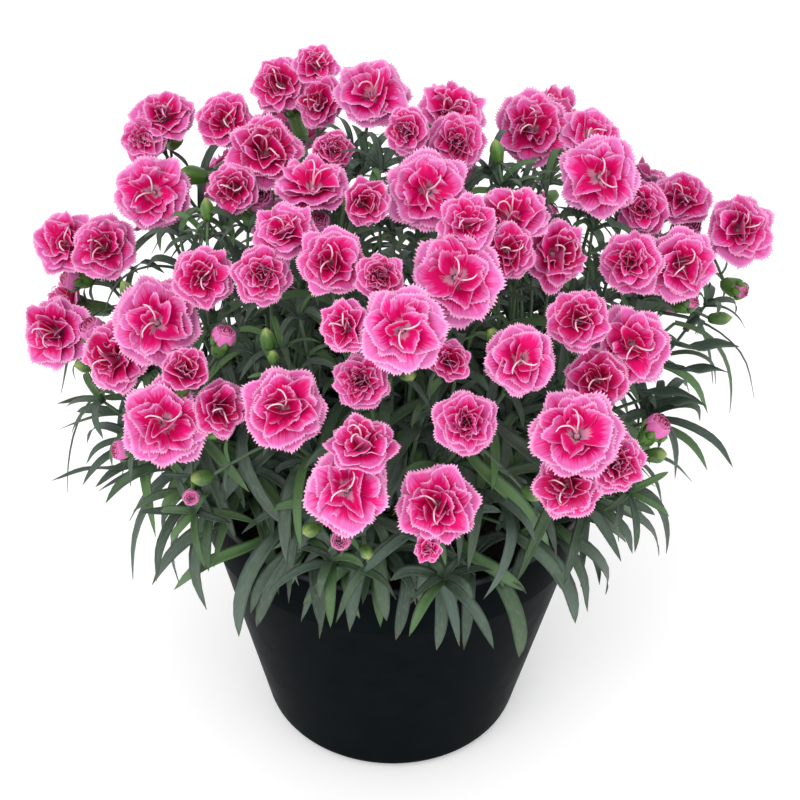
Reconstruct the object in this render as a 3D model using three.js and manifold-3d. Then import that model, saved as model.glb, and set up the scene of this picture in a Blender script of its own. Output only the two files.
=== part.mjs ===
// A dianthus in its nursery pot: a mound of double pink flower heads over narrow grey-green leaves,
// grown from five rooted cuttings in one black container.
// Millimetres, +Z up, the front is -Y. The origin is the middle of the pot's flat underside.
import * as THREE from "three";
import { mergeVertices } from "three/addons/utils/BufferGeometryUtils.js";
import Module from "manifold-3d";

const wasm = await Module();
wasm.setup();

// ---------- Driving dimensions ----------
const POT = {
  height: 185,
  baseRadius: 75,
  baseEdge: 5,
  baseFlare: 0.5,
  neckRadius: 108.5,
  collarHeight: 38,
  collarRadius: 111,
  rimRadius: 115,
  rimWidth: 6,
  rimHeight: 3,
  rimEdge: 1,
  lipDrop: 2,
  wall: 2.5,
  sides: 28,
  drainHoles: 4,
  drainRadius: 6,
  drainCircle: 50,
  drainSides: 8,
};
const SOIL = {
  top: 166,
  rise: 4,
  riseReach: 110,
  roughness: 1.3,
  ripples: [0.13, 0.11],
  rings: [70, 35],
  ringSides: 12,
  gap: 0.3,
  holeRadius: 6.6,
  holeDepth: 34,
};
const MOUND = { middle: 215, reach: 195, rise: 190 };
const CUTTINGS = {
  count: 5,
  circle: 62,
  firstAngle: -90,
  stockRadius: 6,
  stockNeck: 4,
  stockTop: 187,
  rootShare: 0.4,
  sides: 6,
  fanStart: 195,
  fanShare: 0.2,
  fanRadius: 20,
};

// The dense cushion of young leaves at the foot of each cutting, as tiers of points round it:
// [points, share of its reach, height, how far every other point draws in, how far it drops].
const CUSHION = {
  outward: 38,
  sideways: 34,
  tiers: [
    [8, 0.5, 174, 0, 0],
    [18, 1, 190, 0.42, 5],
    [8, 0.6, 193, 0, 0],
    [14, 0.95, 210, 0.45, 6],
    [6, 0.42, 208, 0, 0],
    [10, 0.68, 228, 0.5, 10],
    [1, 0, 214, 0, 0],
  ],
};
const STEM = { radius: 1.7, sides: 3, fork: 12, rings: [0, 0.36, 0.7, 1] };

// How a stem bows between its cushion and its fork, in shares of its span.
const BOW = { up: 0.34, out: 0.06, down: 0.22, back: 0.1 };
const STALK = { rootRadius: 0.9, radius: 1.3, highest: 0.96, step: 0.06 };
const CALYX = { length: 17, radius: 4.8, foot: 2.4, seatGap: 0.3, sides: 4, share: 0.28 };

const BUD = { sunk: 12, clearance: 3, length: 1.9, base: 0.2, tip: 1.3, neck: 0.4, sides: 5 };
const BACK_BUD_RADII = [4, 6.5];
const LEAF = { keel: 0.17, leastKeel: 0.9, clearance: 4, gap: 0.15, sharpest: 1.1 };
const OVER_SOIL = { reach: 85, clearance: 10 };

// The points of an arching leaf past its root, as shares of its length: [outward, up for each rise, down for
// each droop].
const ARCH = [[0.3, 0.3, 0], [0.68, 0.42, 0.35], [0.94, 0.3, 1]];

// Leaf pairs up a flowering stem: [share of the stem's length, leaf length, width, rise, droop].
const LOW_STEMS_BELOW = 290;
const LOW_PAIRS = [[0.4, 78, 8.5, 0.6, 0.4], [0.72, 64, 7, 0.7, 0.3]];
const HIGH_PAIRS = [[0.66, 62, 6.5, 0.8, 0.2]];

// Leafy shoots round the foot of the mound, in tiers. Each shoot ends in a tuft of leaves.
const TUFTS = [
  { count: 13, first: -90, reach: 105, height: 200, length: 63, width: 8.5, rise: 0.35, droop: 0.55 },
  { count: 12, first: -76, reach: 140, height: 226, length: 60, width: 7.5, rise: 0.45, droop: 0.35 },
  { count: 5, first: -54, reach: 72, height: 222, length: 58, width: 7.5, rise: 0.9, droop: 0.2 },
];
const TUFT = {
  leaves: 5,
  hub: 3,
  hubHeight: 1.4,
  neck: 5,
  spread: 7,
  stemRadius: 1.2,
  startHeight: 178,
  startShare: 0.4,
  inwardShare: 0.45,
  frontTrim: 0.28,
  lean: 0.35,
  shorter: 0.8,
  steeper: 1.6,
  turning: 0.25,
};
const HEAD = { seat: 0.42, depth: 0.4, touch: 0.8, closest: 0.55, gap: 1.5 };
const SETTLE = { rounds: 60, push: 0.3, pull: 0.25, slip: 0.5, passes: 40, part: 0.7 };
const TOUCHING = 0.35;
const [SHOOT_CROSSINGS, PAIR_CROSSINGS] = [2, 1];
const UP = new THREE.Vector3(0, 0, 1);

// Flower heads are laid out on sight lines from one viewing point in front of the pot and above it.
// A line is named by its units across and down; the units are 1 / `unit` of the viewing distance.
const SIGHT = { distance: 1400, height: 224, tilt: 39.3, roll: -1.19, unit: 2480, across: 397, down: 400 };

const OPEN = "open",
  ROSE = "rose",
  CUP = "cup";

// Each row is one cluster of heads that touch. A head is [across, down, width, lean right, lean up, form],
// and a lean is the sine of the angle between the head's axis and its sight line.
const FRONT_HEADS = [
  [[276, 84, 62, -0.3, 0.2, OPEN], [318, 62, 50, 0.1, 0.6, OPEN], [318, 102, 60, -0.5, 0.1, OPEN]],
  [[374, 90, 84, 0.1, 0.5, OPEN]],
  [[453, 105, 74, 0.1, 0.7, OPEN], [456, 142, 66, 0.1, 0.1, ROSE]],
  [[406, 131, 54, -0.45, 0, ROSE]],
  [[533, 127, 86, 0.1, 0.25, OPEN], [592, 131, 62, 0.3, 0.5, OPEN]],
  [[600, 177, 90, 0, 0, OPEN]],
  [[164, 112, 72, 0, 0.65, OPEN], [143, 138, 52, -0.3, 0.1, ROSE]],
  [[225, 119, 64, -0.1, 0.35, OPEN]],
  [[152, 193, 84, -0.1, 0, OPEN]],
  [[268, 148, 84, 0.2, 0.45, OPEN], [232, 190, 58, -0.3, -0.1, OPEN]],
  [[333, 150, 48, 0.3, 0.5, ROSE]],
  [[313, 181, 86, 0, 0.75, OPEN]],
  [[365, 203, 58, 0.4, 0, CUP]],
  [[428, 190, 90, 0, 0.05, OPEN]],
  [[512, 211, 84, 0, 0.75, OPEN], [510, 251, 62, 0.3, 0, OPEN]],
  [[456, 278, 100, 0, 0, OPEN], [468, 222, 66, 0.1, 0.4, OPEN]],
  [[642, 208, 60, -0.4, 0, ROSE]],
  [[683, 196, 66, 0.1, 0.55, OPEN]],
  [[742, 228, 78, 0.3, 0.2, OPEN]],
  [[64, 241, 70, -0.3, 0.35, OPEN], [103, 247, 72, -0.1, 0.1, OPEN]],
  [[285, 228, 70, 0, 0.5, OPEN], [262, 276, 66, 0.1, 0, ROSE]],
  [[331, 261, 76, 0, 0.1, OPEN]],
  [[203, 277, 70, 0, 0.2, OPEN]],
  [[156, 322, 98, -0.05, 0.05, OPEN]],
  [[52, 332, 80, -0.45, 0.1, OPEN]],
  [[111, 359, 80, -0.55, -0.1, OPEN]],
  [[165, 422, 96, 0, 0, OPEN], [222, 409, 66, 0.35, -0.1, OPEN]],
  [[285, 407, 92, 0.1, 0.05, OPEN]],
  [[186, 371, 56, 0.1, 0.5, CUP]],
  [[380, 276, 54, 0, 0.3, ROSE]],
  [[402, 329, 94, 0, 0.05, OPEN], [344, 326, 60, -0.4, 0, OPEN]],
  [[361, 381, 64, -0.15, 0.1, ROSE]],
  [[450, 361, 50, 0.3, 0.2, CUP]],
  [[466, 423, 72, 0, 0, ROSE]],
  [[521, 360, 78, 0.05, 0, OPEN]],
  [[560, 254, 80, 0.6, 0, OPEN]],
  [[631, 262, 72, -0.1, 0.1, ROSE], [684, 265, 82, 0.4, -0.1, OPEN]],
  [[578, 319, 70, 0, 0.2, OPEN]],
  [[634, 345, 86, 0.2, 0, OPEN], [597, 379, 72, 0, 0.1, OPEN]],
  [[577, 432, 100, 0, 0.25, OPEN], [620, 462, 68, 0.4, -0.1, ROSE], [563, 488, 74, -0.1, -0.15, OPEN]],
  [[347, 490, 92, 0, 0, OPEN], [362, 441, 76, 0, 0.7, OPEN]],
  [[437, 505, 92, 0, 0, OPEN], [428, 549, 34, 0, -0.4, CUP]],
];

// Pairs of heads on the side that the viewing point can't see: [angle round the pot, angle above the middle].
const BACK_PAIRS = [
  [54, 37], [116, 38],
  [36, 23], [82, 24], [120, 18], [152, 31],
  [34, 11], [66, 1], [86, 6], [112, -3], [160, 12],
];
const BACK_WIDTHS = [38, 50];
const BACK_OPEN_SHARE = 0.7;
const BACK_APART = 0.75;
const BACK_LEANS = { aside: [0, 0.4], up: [-0.1, 0.3] };

// Buds of the front: [across, down, width, lean right, lean up]. The second list has those that show petals.
const GREEN_BUDS = [
  [267, 337, 17, 0, 0.5], [273, 356, 13, 0.1, 0.2], [310, 530, 17, -0.2, 0.1], [367, 553, 15, 0.2, -0.1],
  [222, 436, 17, 0.2, 0.6], [200, 478, 18, -0.3, 0.3], [722, 318, 15, 0.7, 0.5], [497, 149, 16, 0, 0.8],
  [657, 455, 18, 0.3, -0.2], [530, 499, 16, 0.2, 0.2], [84, 365, 17, -0.3, -0.1], [208, 207, 15, -0.2, 0.7],
  [408, 374, 18, 0.2, -0.2], [493, 335, 16, -0.4, 0.3], [127, 290, 17, -0.1, 0.5], [175, 140, 18, 0.7, -0.1],
];
const PINK_BUDS = [
  [262, 184, 30, -0.1, 0.75], [223, 338, 24, 0.1, 0.7], [693, 218, 28, -0.2, 0.7], [656, 428, 26, 0.1, 0.7],
  [122, 450, 20, -0.5, 0.4], [93, 331, 26, 0.1, 0.65], [341, 540, 20, 0.1, 0.3], [73, 279, 22, -0.8, 0.3],
  [319, 206, 22, 0.2, 0.6], [737, 289, 22, 0.75, 0.5], [690, 304, 22, 0.5, 0.6], [191, 497, 16, -0.2, 0.4],
];
const BACK_BUDS = [[24, 40], [58, 17], [83, 41], [98, 12], [121, 17], [152, 42]];

// ---------- Small helpers ----------
const vector = (x, y, z) => new THREE.Vector3(x, y, z);
const radians = (degrees) => (degrees * Math.PI) / 180;
const along = (start, direction, distance) => start.clone().addScaledVector(direction, distance);
const mix = (a, b, share) => a.clone().lerp(b, share);
const unit = (v) => v.clone().normalize();
const cross = (a, b) => new THREE.Vector3().crossVectors(a, b);

// A repeatable random draw between two limits.
const DRAW = { factor: 16807, range: 2147483647 };
function drawer(seed) {
  let state = seed;
  return (low, high) => {
    state = (state * DRAW.factor) % DRAW.range;
    return low + (high - low) * (state / DRAW.range);
  };
}

// A direction square to `axis` that leans as little as it can from `wish`.
const squareTo = (axis, wish) => unit(along(wish, axis, -wish.dot(axis)));

// The point on the mound's skin towards an angle round the pot and an angle above its middle.
function onMound(round, above, share = 1) {
  const flat = Math.cos(radians(above)) * MOUND.reach * share;
  return vector(
    flat * Math.cos(radians(round)),
    flat * Math.sin(radians(round)),
    MOUND.middle + MOUND.rise * share * Math.sin(radians(above)),
  );
}

// The mound's outward normal at a point near its skin.
const moundNormal = (p) =>
  unit(vector(p.x / MOUND.reach ** 2, p.y / MOUND.reach ** 2, (p.z - MOUND.middle) / MOUND.rise ** 2));

// ---------- Sight lines ----------
const TILT = radians(SIGHT.tilt);
const FORWARD = vector(0, Math.cos(TILT), -Math.sin(TILT));
const RIGHT = vector(1, 0, 0);
const TOP = vector(0, Math.sin(TILT), Math.cos(TILT));
const EYE = along(vector(0, 0, SIGHT.height), FORWARD, -SIGHT.distance);

// Where a sight line first meets the mound's skin, or passes nearest to it.
function sightPoint(across, down) {
  const [c, s] = [Math.cos(radians(SIGHT.roll)), Math.sin(radians(SIGHT.roll))];
  const [x, y] = [across - SIGHT.across, SIGHT.down - down];
  const line = unit(
    FORWARD.clone()
      .multiplyScalar(SIGHT.unit)
      .addScaledVector(RIGHT, c * x + s * y)
      .addScaledVector(TOP, c * y - s * x),
  );
  const scaled = (v) => vector(v.x / MOUND.reach, v.y / MOUND.reach, v.z / MOUND.rise);
  const from = scaled(EYE.clone().sub(vector(0, 0, MOUND.middle)));
  const way = scaled(line);
  const [a, b, k] = [way.lengthSq(), from.dot(way), from.lengthSq() - 1];
  const inside = Math.max(0, b * b - a * k);
  return along(EYE, line, (-b - Math.sqrt(inside)) / a);
}

// A head or bud seen on a sight line: its place, radius, axis, and the way in which it may be slid.
function seen([across, down, width, leanRight, leanUp, form]) {
  const place = sightPoint(across, down);
  const towards = unit(EYE.clone().sub(place));
  const sideways = squareTo(towards, RIGHT);
  const upwards = cross(towards, sideways);
  const axis = towards
    .clone()
    .multiplyScalar(Math.sqrt(1 - leanRight ** 2 - leanUp ** 2))
    .addScaledVector(sideways, leanRight)
    .addScaledVector(upwards, leanUp);
  const depth = place.clone().sub(EYE).dot(FORWARD);
  return { place, axis, radius: ((width / 2) * depth) / SIGHT.unit, form, slide: towards };
}

// ---------- The plan: where everything grows ----------
// How far a head reaches from its middle in direction n.
function headReach(head, n) {
  const c = n.dot(head.axis);
  return head.radius * Math.sqrt(1 - c * c + (HEAD.depth * c) ** 2);
}

// Draws two heads of one cluster together: along their sight lines, and sideways only where they must.
function drawTogether(a, b) {
  const between = b.place.clone().sub(a.place);
  const n = unit(between);
  const apart = between.length() - HEAD.touch * (headReach(a, n) + headReach(b, n));
  const outward = unit(mix(a.slide, b.slide, 0.5));
  const depth = between.dot(outward);
  const sideways = along(between, outward, -depth);
  const aside = unit(sideways);
  const wide = sideways.length() - HEAD.touch * (headReach(a, aside) + headReach(b, aside));
  const step = SETTLE.pull * Math.max(0, wide);
  a.place.addScaledVector(aside, step);
  b.place.addScaledVector(aside, -step);
  const slid = SETTLE.slip * Math.min(Math.max(0, apart), Math.abs(depth)) * Math.sign(depth);
  a.place.addScaledVector(a.slide, slid);
  b.place.addScaledVector(b.slide, -slid);
}

// Slides heads in and out until those of different clusters are clear and those of one cluster touch.
function settleHeads(heads) {
  for (let round = 0; round < SETTLE.rounds; round++) {
    for (let i = 0; i < heads.length; i++) {
      for (let j = i + 1; j < heads.length; j++) {
        const [a, b] = [heads[i], heads[j]];
        const between = b.place.clone().sub(a.place);
        const distance = between.length();
        if (distance > a.radius + b.radius + HEAD.gap) continue;
        const n = unit(between);
        const reach = headReach(a, n) + headReach(b, n);
        const mates = a.cluster === b.cluster;
        const least = mates ? HEAD.closest * reach : reach + HEAD.gap;
        if (distance < least) {
          const outer = between.dot(mix(a.slide, b.slide, 0.5)) >= 0 ? 1 : -1;
          const step = SETTLE.push * (least - distance) * outer;
          a.place.addScaledVector(a.slide, -step);
          b.place.addScaledVector(b.slide, step);
        }
      }
    }
    for (let i = 0; i + 1 < heads.length; i++) {
      if (heads[i].cluster === heads[i + 1].cluster) drawTogether(heads[i], heads[i + 1]);
    }
  }
}

// Slides apart the finished heads of different clusters until they are clear of each other.
function partHeads(heads) {
  for (let pass = 0, moved = true; pass < SETTLE.passes && moved; pass++) {
    moved = false;
    const made = heads.map((head) => boxed(headSolid(head)));
    for (let i = 0; i < heads.length; i++) {
      for (let j = i + 1; j < heads.length; j++) {
        const [a, b] = [heads[i], heads[j]];
        if (a.cluster === b.cluster || clear(made[i], [made[j]], TOUCHING)) continue;
        const outer = b.place.clone().sub(a.place).dot(mix(a.slide, b.slide, 0.5)) >= 0 ? 1 : -1;
        a.place.addScaledVector(a.slide, -SETTLE.part * outer);
        b.place.addScaledVector(b.slide, SETTLE.part * outer);
        moved = true;
      }
    }
  }
}

function planHeads() {
  const draw = drawer(2014);
  const heads = [];
  FRONT_HEADS.forEach((row, cluster) => {
    for (const head of row) heads.push({ ...seen(head), cluster });
  });
  BACK_PAIRS.forEach(([round, above], k) => {
    const cluster = FRONT_HEADS.length + k;
    const first = onMound(round, above);
    const normal = moundNormal(first);
    const turn = draw(0, 2 * Math.PI);
    const sideways = squareTo(normal, UP).applyAxisAngle(normal, turn);
    for (const end of [-1, 1]) {
      const radius = draw(...BACK_WIDTHS) / 2;
      const place = along(first, sideways, end * BACK_APART * radius);
      const slide = moundNormal(place);
      const lean = along(slide, sideways, end * draw(...BACK_LEANS.aside));
      const axis = unit(along(lean, UP, draw(...BACK_LEANS.up)));
      const form = draw(0, 1) < BACK_OPEN_SHARE ? OPEN : ROSE;
      heads.push({ place, axis, radius, form, slide, cluster });
    }
  });
  for (const head of heads) {
    head.turn = draw(0, 2 * Math.PI);
    head.calyx = Math.min(CALYX.radius, CALYX.share * head.radius);
  }
  settleHeads(heads);
  partHeads(heads);
  for (const head of heads) {
    head.seat = along(head.place, head.axis, -HEAD.seat * head.radius);
    head.foot = along(head.seat, head.axis, -CALYX.length);
  }
  return heads;
}

// Moves a point out of every flower head, to the side that it is on.
function clearOfHeads(p, heads, margin) {
  for (const { place, axis, radius } of heads) {
    const from = p.clone().sub(place);
    const height = from.dot(axis);
    const sideways = along(from, axis, -height).length() / (radius + margin);
    const depth = HEAD.depth * radius + margin;
    const rest = 1 - sideways * sideways - (height / depth) ** 2;
    if (rest <= 0) continue;
    const wanted = depth * Math.sqrt(1 - sideways * sideways) * (height > 0.5 * depth ? 1 : -1);
    p.addScaledVector(axis, wanted - height);
  }
  return p;
}

// Lifts a point within the pot's circle over the soil, or near the wall over its rim.
function clearOfPot(p) {
  const reach = Math.hypot(p.x, p.y);
  const overRim = POT.height + LEAF.clearance;
  const lowest = reach > OVER_SOIL.reach ? overRim : SOIL.top + OVER_SOIL.clearance;
  if (reach < POT.rimRadius + LEAF.clearance) p.z = Math.max(p.z, lowest);
  return p;
}

// A leaf from `root` towards `side`, arching over and hanging by `droop` of its length.
// Its points are the root, two along the blade and the tip.
function leafPoints(root, stemWay, side, length, rise, droop, heads) {
  const points = ARCH.map(([out, up, down]) => {
    const risen = along(along(root, side, out * length), stemWay, rise * up * length);
    return along(risen, UP, -down * droop * length);
  });
  for (let pass = 0; pass < 2; pass++) {
    for (const p of points) clearOfPot(clearOfHeads(p, heads, LEAF.clearance));
  }
  return [root.clone(), ...points];
}

// An opposite pair of leaves round a stem, for each way of turning it.
function leafPair(curve, [share, longest, widest, highest, lowest], turn, heads, draw) {
  const at = share + draw(-0.04, 0.04);
  const [root, way] = [curve.getPoint(at), curve.getTangent(at)];
  const [length, width] = [longest * draw(0.9, 1.1), widest * draw(0.85, 1.15)];
  const looks = [1, -1].map((end) => ({
    end,
    long: length * draw(0.85, 1.1),
    rise: highest * draw(0.7, 1.2),
    droop: lowest * draw(0.6, 1.4),
  }));
  return (extraTurn) => {
    const side = squareTo(way, Math.abs(way.z) > 0.9 ? RIGHT : UP).applyAxisAngle(way, turn + extraTurn);
    const blades = looks.map(({ end, long, rise, droop }) =>
      leafPoints(root, way, side.clone().multiplyScalar(end), long, rise, droop, heads),
    );
    return { blades, across: cross(side, way), width };
  };
}

// The rooted cutting that grows below a point, and where its stock comes out of the soil.
function cuttingOf(p) {
  const step = 360 / CUTTINGS.count;
  const round = (Math.atan2(p.y, p.x) * 180) / Math.PI - CUTTINGS.firstAngle + step / 2;
  return Math.floor((((round % 360) + 360) % 360) / step);
}

// The ground point of a cutting, and its outward direction.
function cuttingAxis(cutting) {
  const round = radians(CUTTINGS.firstAngle + (cutting * 360) / CUTTINGS.count);
  const outward = vector(Math.cos(round), Math.sin(round), 0);
  return { foot: outward.clone().multiplyScalar(CUTTINGS.circle), outward };
}

// Where inside its cutting's cushion the stem to a point starts, so that the stems fan out without crossing.
function fanStart(cutting, end) {
  const { foot } = cuttingAxis(cutting);
  const lean = vector(end.x - foot.x, end.y - foot.y, 0);
  const start = along(foot, unit(lean), Math.min(CUTTINGS.fanShare * lean.length(), CUTTINGS.fanRadius));
  return start.setZ(CUTTINGS.fanStart);
}

// Where the next side stalk leaves a stem, each below the last.
function nextRoot(stem) {
  stem.stalks += 1;
  return stem.curve.getPoint(STALK.highest - STALK.step * (stem.stalks - 1));
}

// One flowering stem for each cluster: up from the stock to a fork below the heads.
function planStems(heads) {
  const draw = drawer(77);
  const clusters = [];
  for (const head of heads) (clusters[head.cluster] ??= []).push(head);
  return clusters.map((own) => {
    const feet = own.map((head) => head.foot);
    const middle = feet.reduce((sum, p) => sum.add(p), vector(0, 0, 0)).multiplyScalar(1 / feet.length);
    const cutting = cuttingOf(middle);
    const rising = unit(middle.clone().sub(cuttingAxis(cutting).foot.setZ(SOIL.top)));
    const facing = own.reduce((sum, head) => sum.add(head.axis), vector(0, 0, 0));
    const way = unit(rising.clone().add(unit(facing)));
    const lowest = Math.min(...feet.map((foot) => foot.clone().sub(middle).dot(way)));
    const fork = along(middle, way, lowest - STEM.fork);
    own.sort((a, b) => b.foot.clone().sub(a.foot).dot(way));
    const start = fanStart(cutting, fork);
    const span = fork.clone().sub(start).length();
    const others = heads.filter((head) => head.cluster !== own[0].cluster);
    const outward = unit(vector(fork.x, fork.y, 0.001));
    const bow = [
      along(along(start, UP, BOW.up * span), outward, BOW.out * span),
      along(along(fork, UP, -BOW.down * span), own[0].axis, -BOW.back * span),
    ];
    for (const p of bow) clearOfHeads(p, others, LEAF.clearance);
    const curve = new THREE.CubicBezierCurve3(start, ...bow, fork);
    const turn = draw(0, 2 * Math.PI);
    const simple = fork.z > LOW_STEMS_BELOW;
    const pairs = (simple ? HIGH_PAIRS : LOW_PAIRS).map((pair, k) => {
      const made = leafPair(curve, pair, turn + (k * Math.PI) / 2, heads, draw);
      return (extraTurn) => ({ ...made(extraTurn), simple });
    });
    const stem = { cutting, curve, heads: own, pairs, stalks: 0 };
    for (const head of own.slice(1)) head.root = nextRoot(stem);
    return stem;
  });
}

// The leafy shoots. The leaves of a tuft are long and low or shorter and steep in turn.
function planShoots(heads) {
  const draw = drawer(555);
  return TUFTS.flatMap(({ count, first, reach, height, length, width, rise, droop }) =>
    Array.from({ length: count }, (_, k) => {
      const round = radians(first + ((k + draw(-TUFT.turning, TUFT.turning)) * 360) / count);
      const outward = vector(Math.cos(round), Math.sin(round), 0);
      const end = outward.clone().multiplyScalar(reach + draw(-TUFT.spread, TUFT.spread));
      end.setZ(height + draw(-TUFT.spread, TUFT.spread));
      clearOfHeads(end, heads, 2 * LEAF.clearance);
      const cutting = cuttingOf(end);
      const start = mix(cuttingAxis(cutting).foot.setZ(TUFT.startHeight), end, TUFT.startShare);
      const way = unit(along(UP, outward, TUFT.lean));
      const turn = draw(0, Math.PI);
      const trimmed = length * (1 - TUFT.frontTrim * Math.max(0, -outward.y));
      const looks = Array.from({ length: TUFT.leaves }, (_, n) => [
        trimmed * (n % 2 ? 1 : TUFT.shorter) * draw(0.85, 1.15),
        rise * (n % 2 ? 1 : TUFT.steeper) * draw(0.7, 1.3),
        droop * draw(0.6, 1.3),
      ]);
      return { cutting, start, end, way, outward, width, turn, looks };
    }),
  );
}

// Buds stand on side stalks from the fork of the nearest flowering stem of the same cutting.
function planBuds(heads, stems) {
  const draw = drawer(31);
  const list = [...GREEN_BUDS, ...PINK_BUDS].map(seen);
  for (const [round, above] of BACK_BUDS) {
    const place = onMound(round, above, 0.98);
    const axis = moundNormal(place);
    list.push({ place, axis, radius: draw(...BACK_BUD_RADII), slide: axis.clone() });
  }
  for (const bud of list) {
    bud.place.addScaledVector(bud.slide, -BUD.sunk);
    clearOfHeads(bud.place, heads, bud.radius + BUD.clearance);
    bud.foot = along(bud.place, bud.axis, -BUD.length * bud.radius);
    const away = (stem) => stem.curve.v3.distanceTo(bud.foot);
    const kin = stems.filter((stem) => stem.cutting === cuttingOf(bud.place));
    const stem = kin.sort((a, b) => away(a) - away(b))[0];
    bud.root = nextRoot(stem);
    bud.axis = unit(bud.axis.add(unit(bud.foot.clone().sub(bud.root))));
    bud.foot = along(bud.place, bud.axis, -BUD.length * bud.radius);
    bud.cutting = stem.cutting;
  }
  return list;
}

// ---------- Solids ----------
// A manifold-3d solid from points and triangles, turned inside out if its faces point in.
function solid(points, faces) {
  const make = (list) =>
    new wasm.Manifold(
      new wasm.Mesh({
        numProp: 3,
        vertProperties: new Float32Array(points.flatMap((p) => [p.x, p.y, p.z])),
        triVerts: new Uint32Array(list.flat()),
      }),
    );
  const made = make(faces);
  return made.volume() > 0 ? made : make(faces.map(([a, b, c]) => [a, c, b]));
}

// Faces between rings of points. Rings with different counts are zipped, and a ring of one point is a tip.
function bands(rings, faces) {
  let first = 0;
  for (let k = 0; k + 1 < rings.length; k++) {
    const [a, b] = [rings[k].length, rings[k + 1].length];
    const second = first + a;
    let [i, j] = [0, 0];
    while (i < (a > 1 ? a : 0) || j < (b > 1 ? b : 0)) {
      const lower = b === 1 || j >= b || (a > 1 && i < a && (i + 0.5) / a <= (j + 0.5) / b);
      const [here, there] = [first + (i % a), second + (j % b)];
      faces.push(lower ? [here, first + ((i + 1) % a), there] : [here, second + ((j + 1) % b), there]);
      if (lower) i++;
      else j++;
    }
    first = second;
  }
  return first;
}

// A closed skin over rings of points.
function skin(rings) {
  const faces = [];
  const first = bands(rings, faces);
  const last = rings[rings.length - 1].length;
  for (let i = 1; i + 1 < rings[0].length; i++) faces.push([0, i + 1, i]);
  for (let i = 1; i + 1 < last; i++) faces.push([first, first + i, first + i + 1]);
  return solid(rings.flat(), faces);
}

// A ring of points round a middle, square to `way`, starting towards `side`.
function ring(middle, way, side, radius, count) {
  const other = cross(way, side);
  return Array.from({ length: count }, (_, i) => {
    const turn = (2 * Math.PI * i) / count;
    return along(along(middle, side, radius * Math.cos(turn)), other, radius * Math.sin(turn));
  });
}

// Rings round a line of points, carried along without twist. `sides` is one count, or one for each ring.
function tubeRings(points, radii, sides) {
  let side = RIGHT;
  return points.map((p, k) => {
    const way = unit(points[Math.min(k + 1, points.length - 1)].clone().sub(points[Math.max(k - 1, 0)]));
    side = squareTo(way, Math.abs(way.dot(side)) > 0.95 ? UP : side);
    return ring(p, way, side, radii[k], sides[k] ?? sides);
  });
}

const tube = (points, radii, sides) => skin(tubeRings(points, radii, sides));

// The tiers of a flower head, from its seat to its middle. Each is points round, radius and height as
// shares of the head's radius, how deep the notches between petals cut, and how far the edge waves.
const EDGE_WAVES = 2.5;
const TIERS = {
  [OPEN]: [
    [4, 0, -0.42, 0, 0],
    [12, 1, -0.06, 0.15, 0.1],
    [6, 0.4, -0.08, 0, 0],
    [8, 0.7, 0.2, 0.2, 0.1],
    [4, 0.22, 0.06, 0, 0],
    [1, 0, 0.3, 0, 0],
  ],
  [ROSE]: [
    [4, 0, -0.42, 0, 0],
    [12, 1, -0.1, 0.1, 0.07],
    [6, 0.5, -0.02, 0, 0],
    [8, 0.76, 0.24, 0.12, 0.06],
    [4, 0.3, 0.14, 0, 0],
    [1, 0, 0.38, 0, 0],
  ],
  [CUP]: [
    [4, 0, -0.42, 0, 0],
    [10, 0.95, 0.12, 0.12, 0.1],
    [5, 0.4, -0.05, 0, 0],
    [6, 0.62, 0.34, 0.15, 0.06],
    [1, 0, 0.1, 0, 0],
  ],
};

function headSolid(head) {
  const start = squareTo(head.axis, Math.abs(head.axis.z) > 0.95 ? RIGHT : UP);
  const side = start.applyAxisAngle(head.axis, head.turn);
  const other = cross(head.axis, side);
  const rings = TIERS[head.form].map(([count, wide, high, notch, wave], tier) =>
    Array.from({ length: count }, (_, i) => {
      const turn = (2 * Math.PI * (i + 0.5 * (tier % 2))) / count;
      const reach = tier === 0 ? head.calyx : head.radius * wide * (i % 2 ? 1 - notch : 1);
      const lift = head.radius * (high + wave * Math.sin(EDGE_WAVES * turn + head.turn + tier));
      return along(
        along(along(head.place, side, reach * Math.cos(turn)), other, reach * Math.sin(turn)),
        head.axis,
        tier === 0 ? -HEAD.seat * head.radius : lift,
      );
    }),
  );
  return skin(rings);
}

// Stalk and calyx of a further head of a spray, from its stem up to the head's seat.
function calyxSolid(head, extra = 0) {
  const points = [head.root, head.foot, along(head.seat, head.axis, -CALYX.seatGap)];
  const radii = [STALK.rootRadius, Math.min(CALYX.foot, head.calyx), head.calyx];
  return tube(points, radii.map((r) => r + extra), [STEM.sides, CALYX.sides, CALYX.sides]);
}

// A flowering stem from its crown to its fork, and on into the calyx of its first head.
function stemSolid({ curve, heads }, extra = 0) {
  const points = STEM.rings.map((share) => curve.getPoint(share));
  points.push(heads[0].foot, along(heads[0].seat, heads[0].axis, -CALYX.seatGap));
  const own = STEM.rings.length;
  const radii = [...Array(own).fill(STEM.radius), Math.min(CALYX.foot, heads[0].calyx), heads[0].calyx];
  const sides = [...Array(own).fill(STEM.sides), CALYX.sides, CALYX.sides];
  return tube(points, radii.map((r) => r + extra), sides);
}

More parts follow.
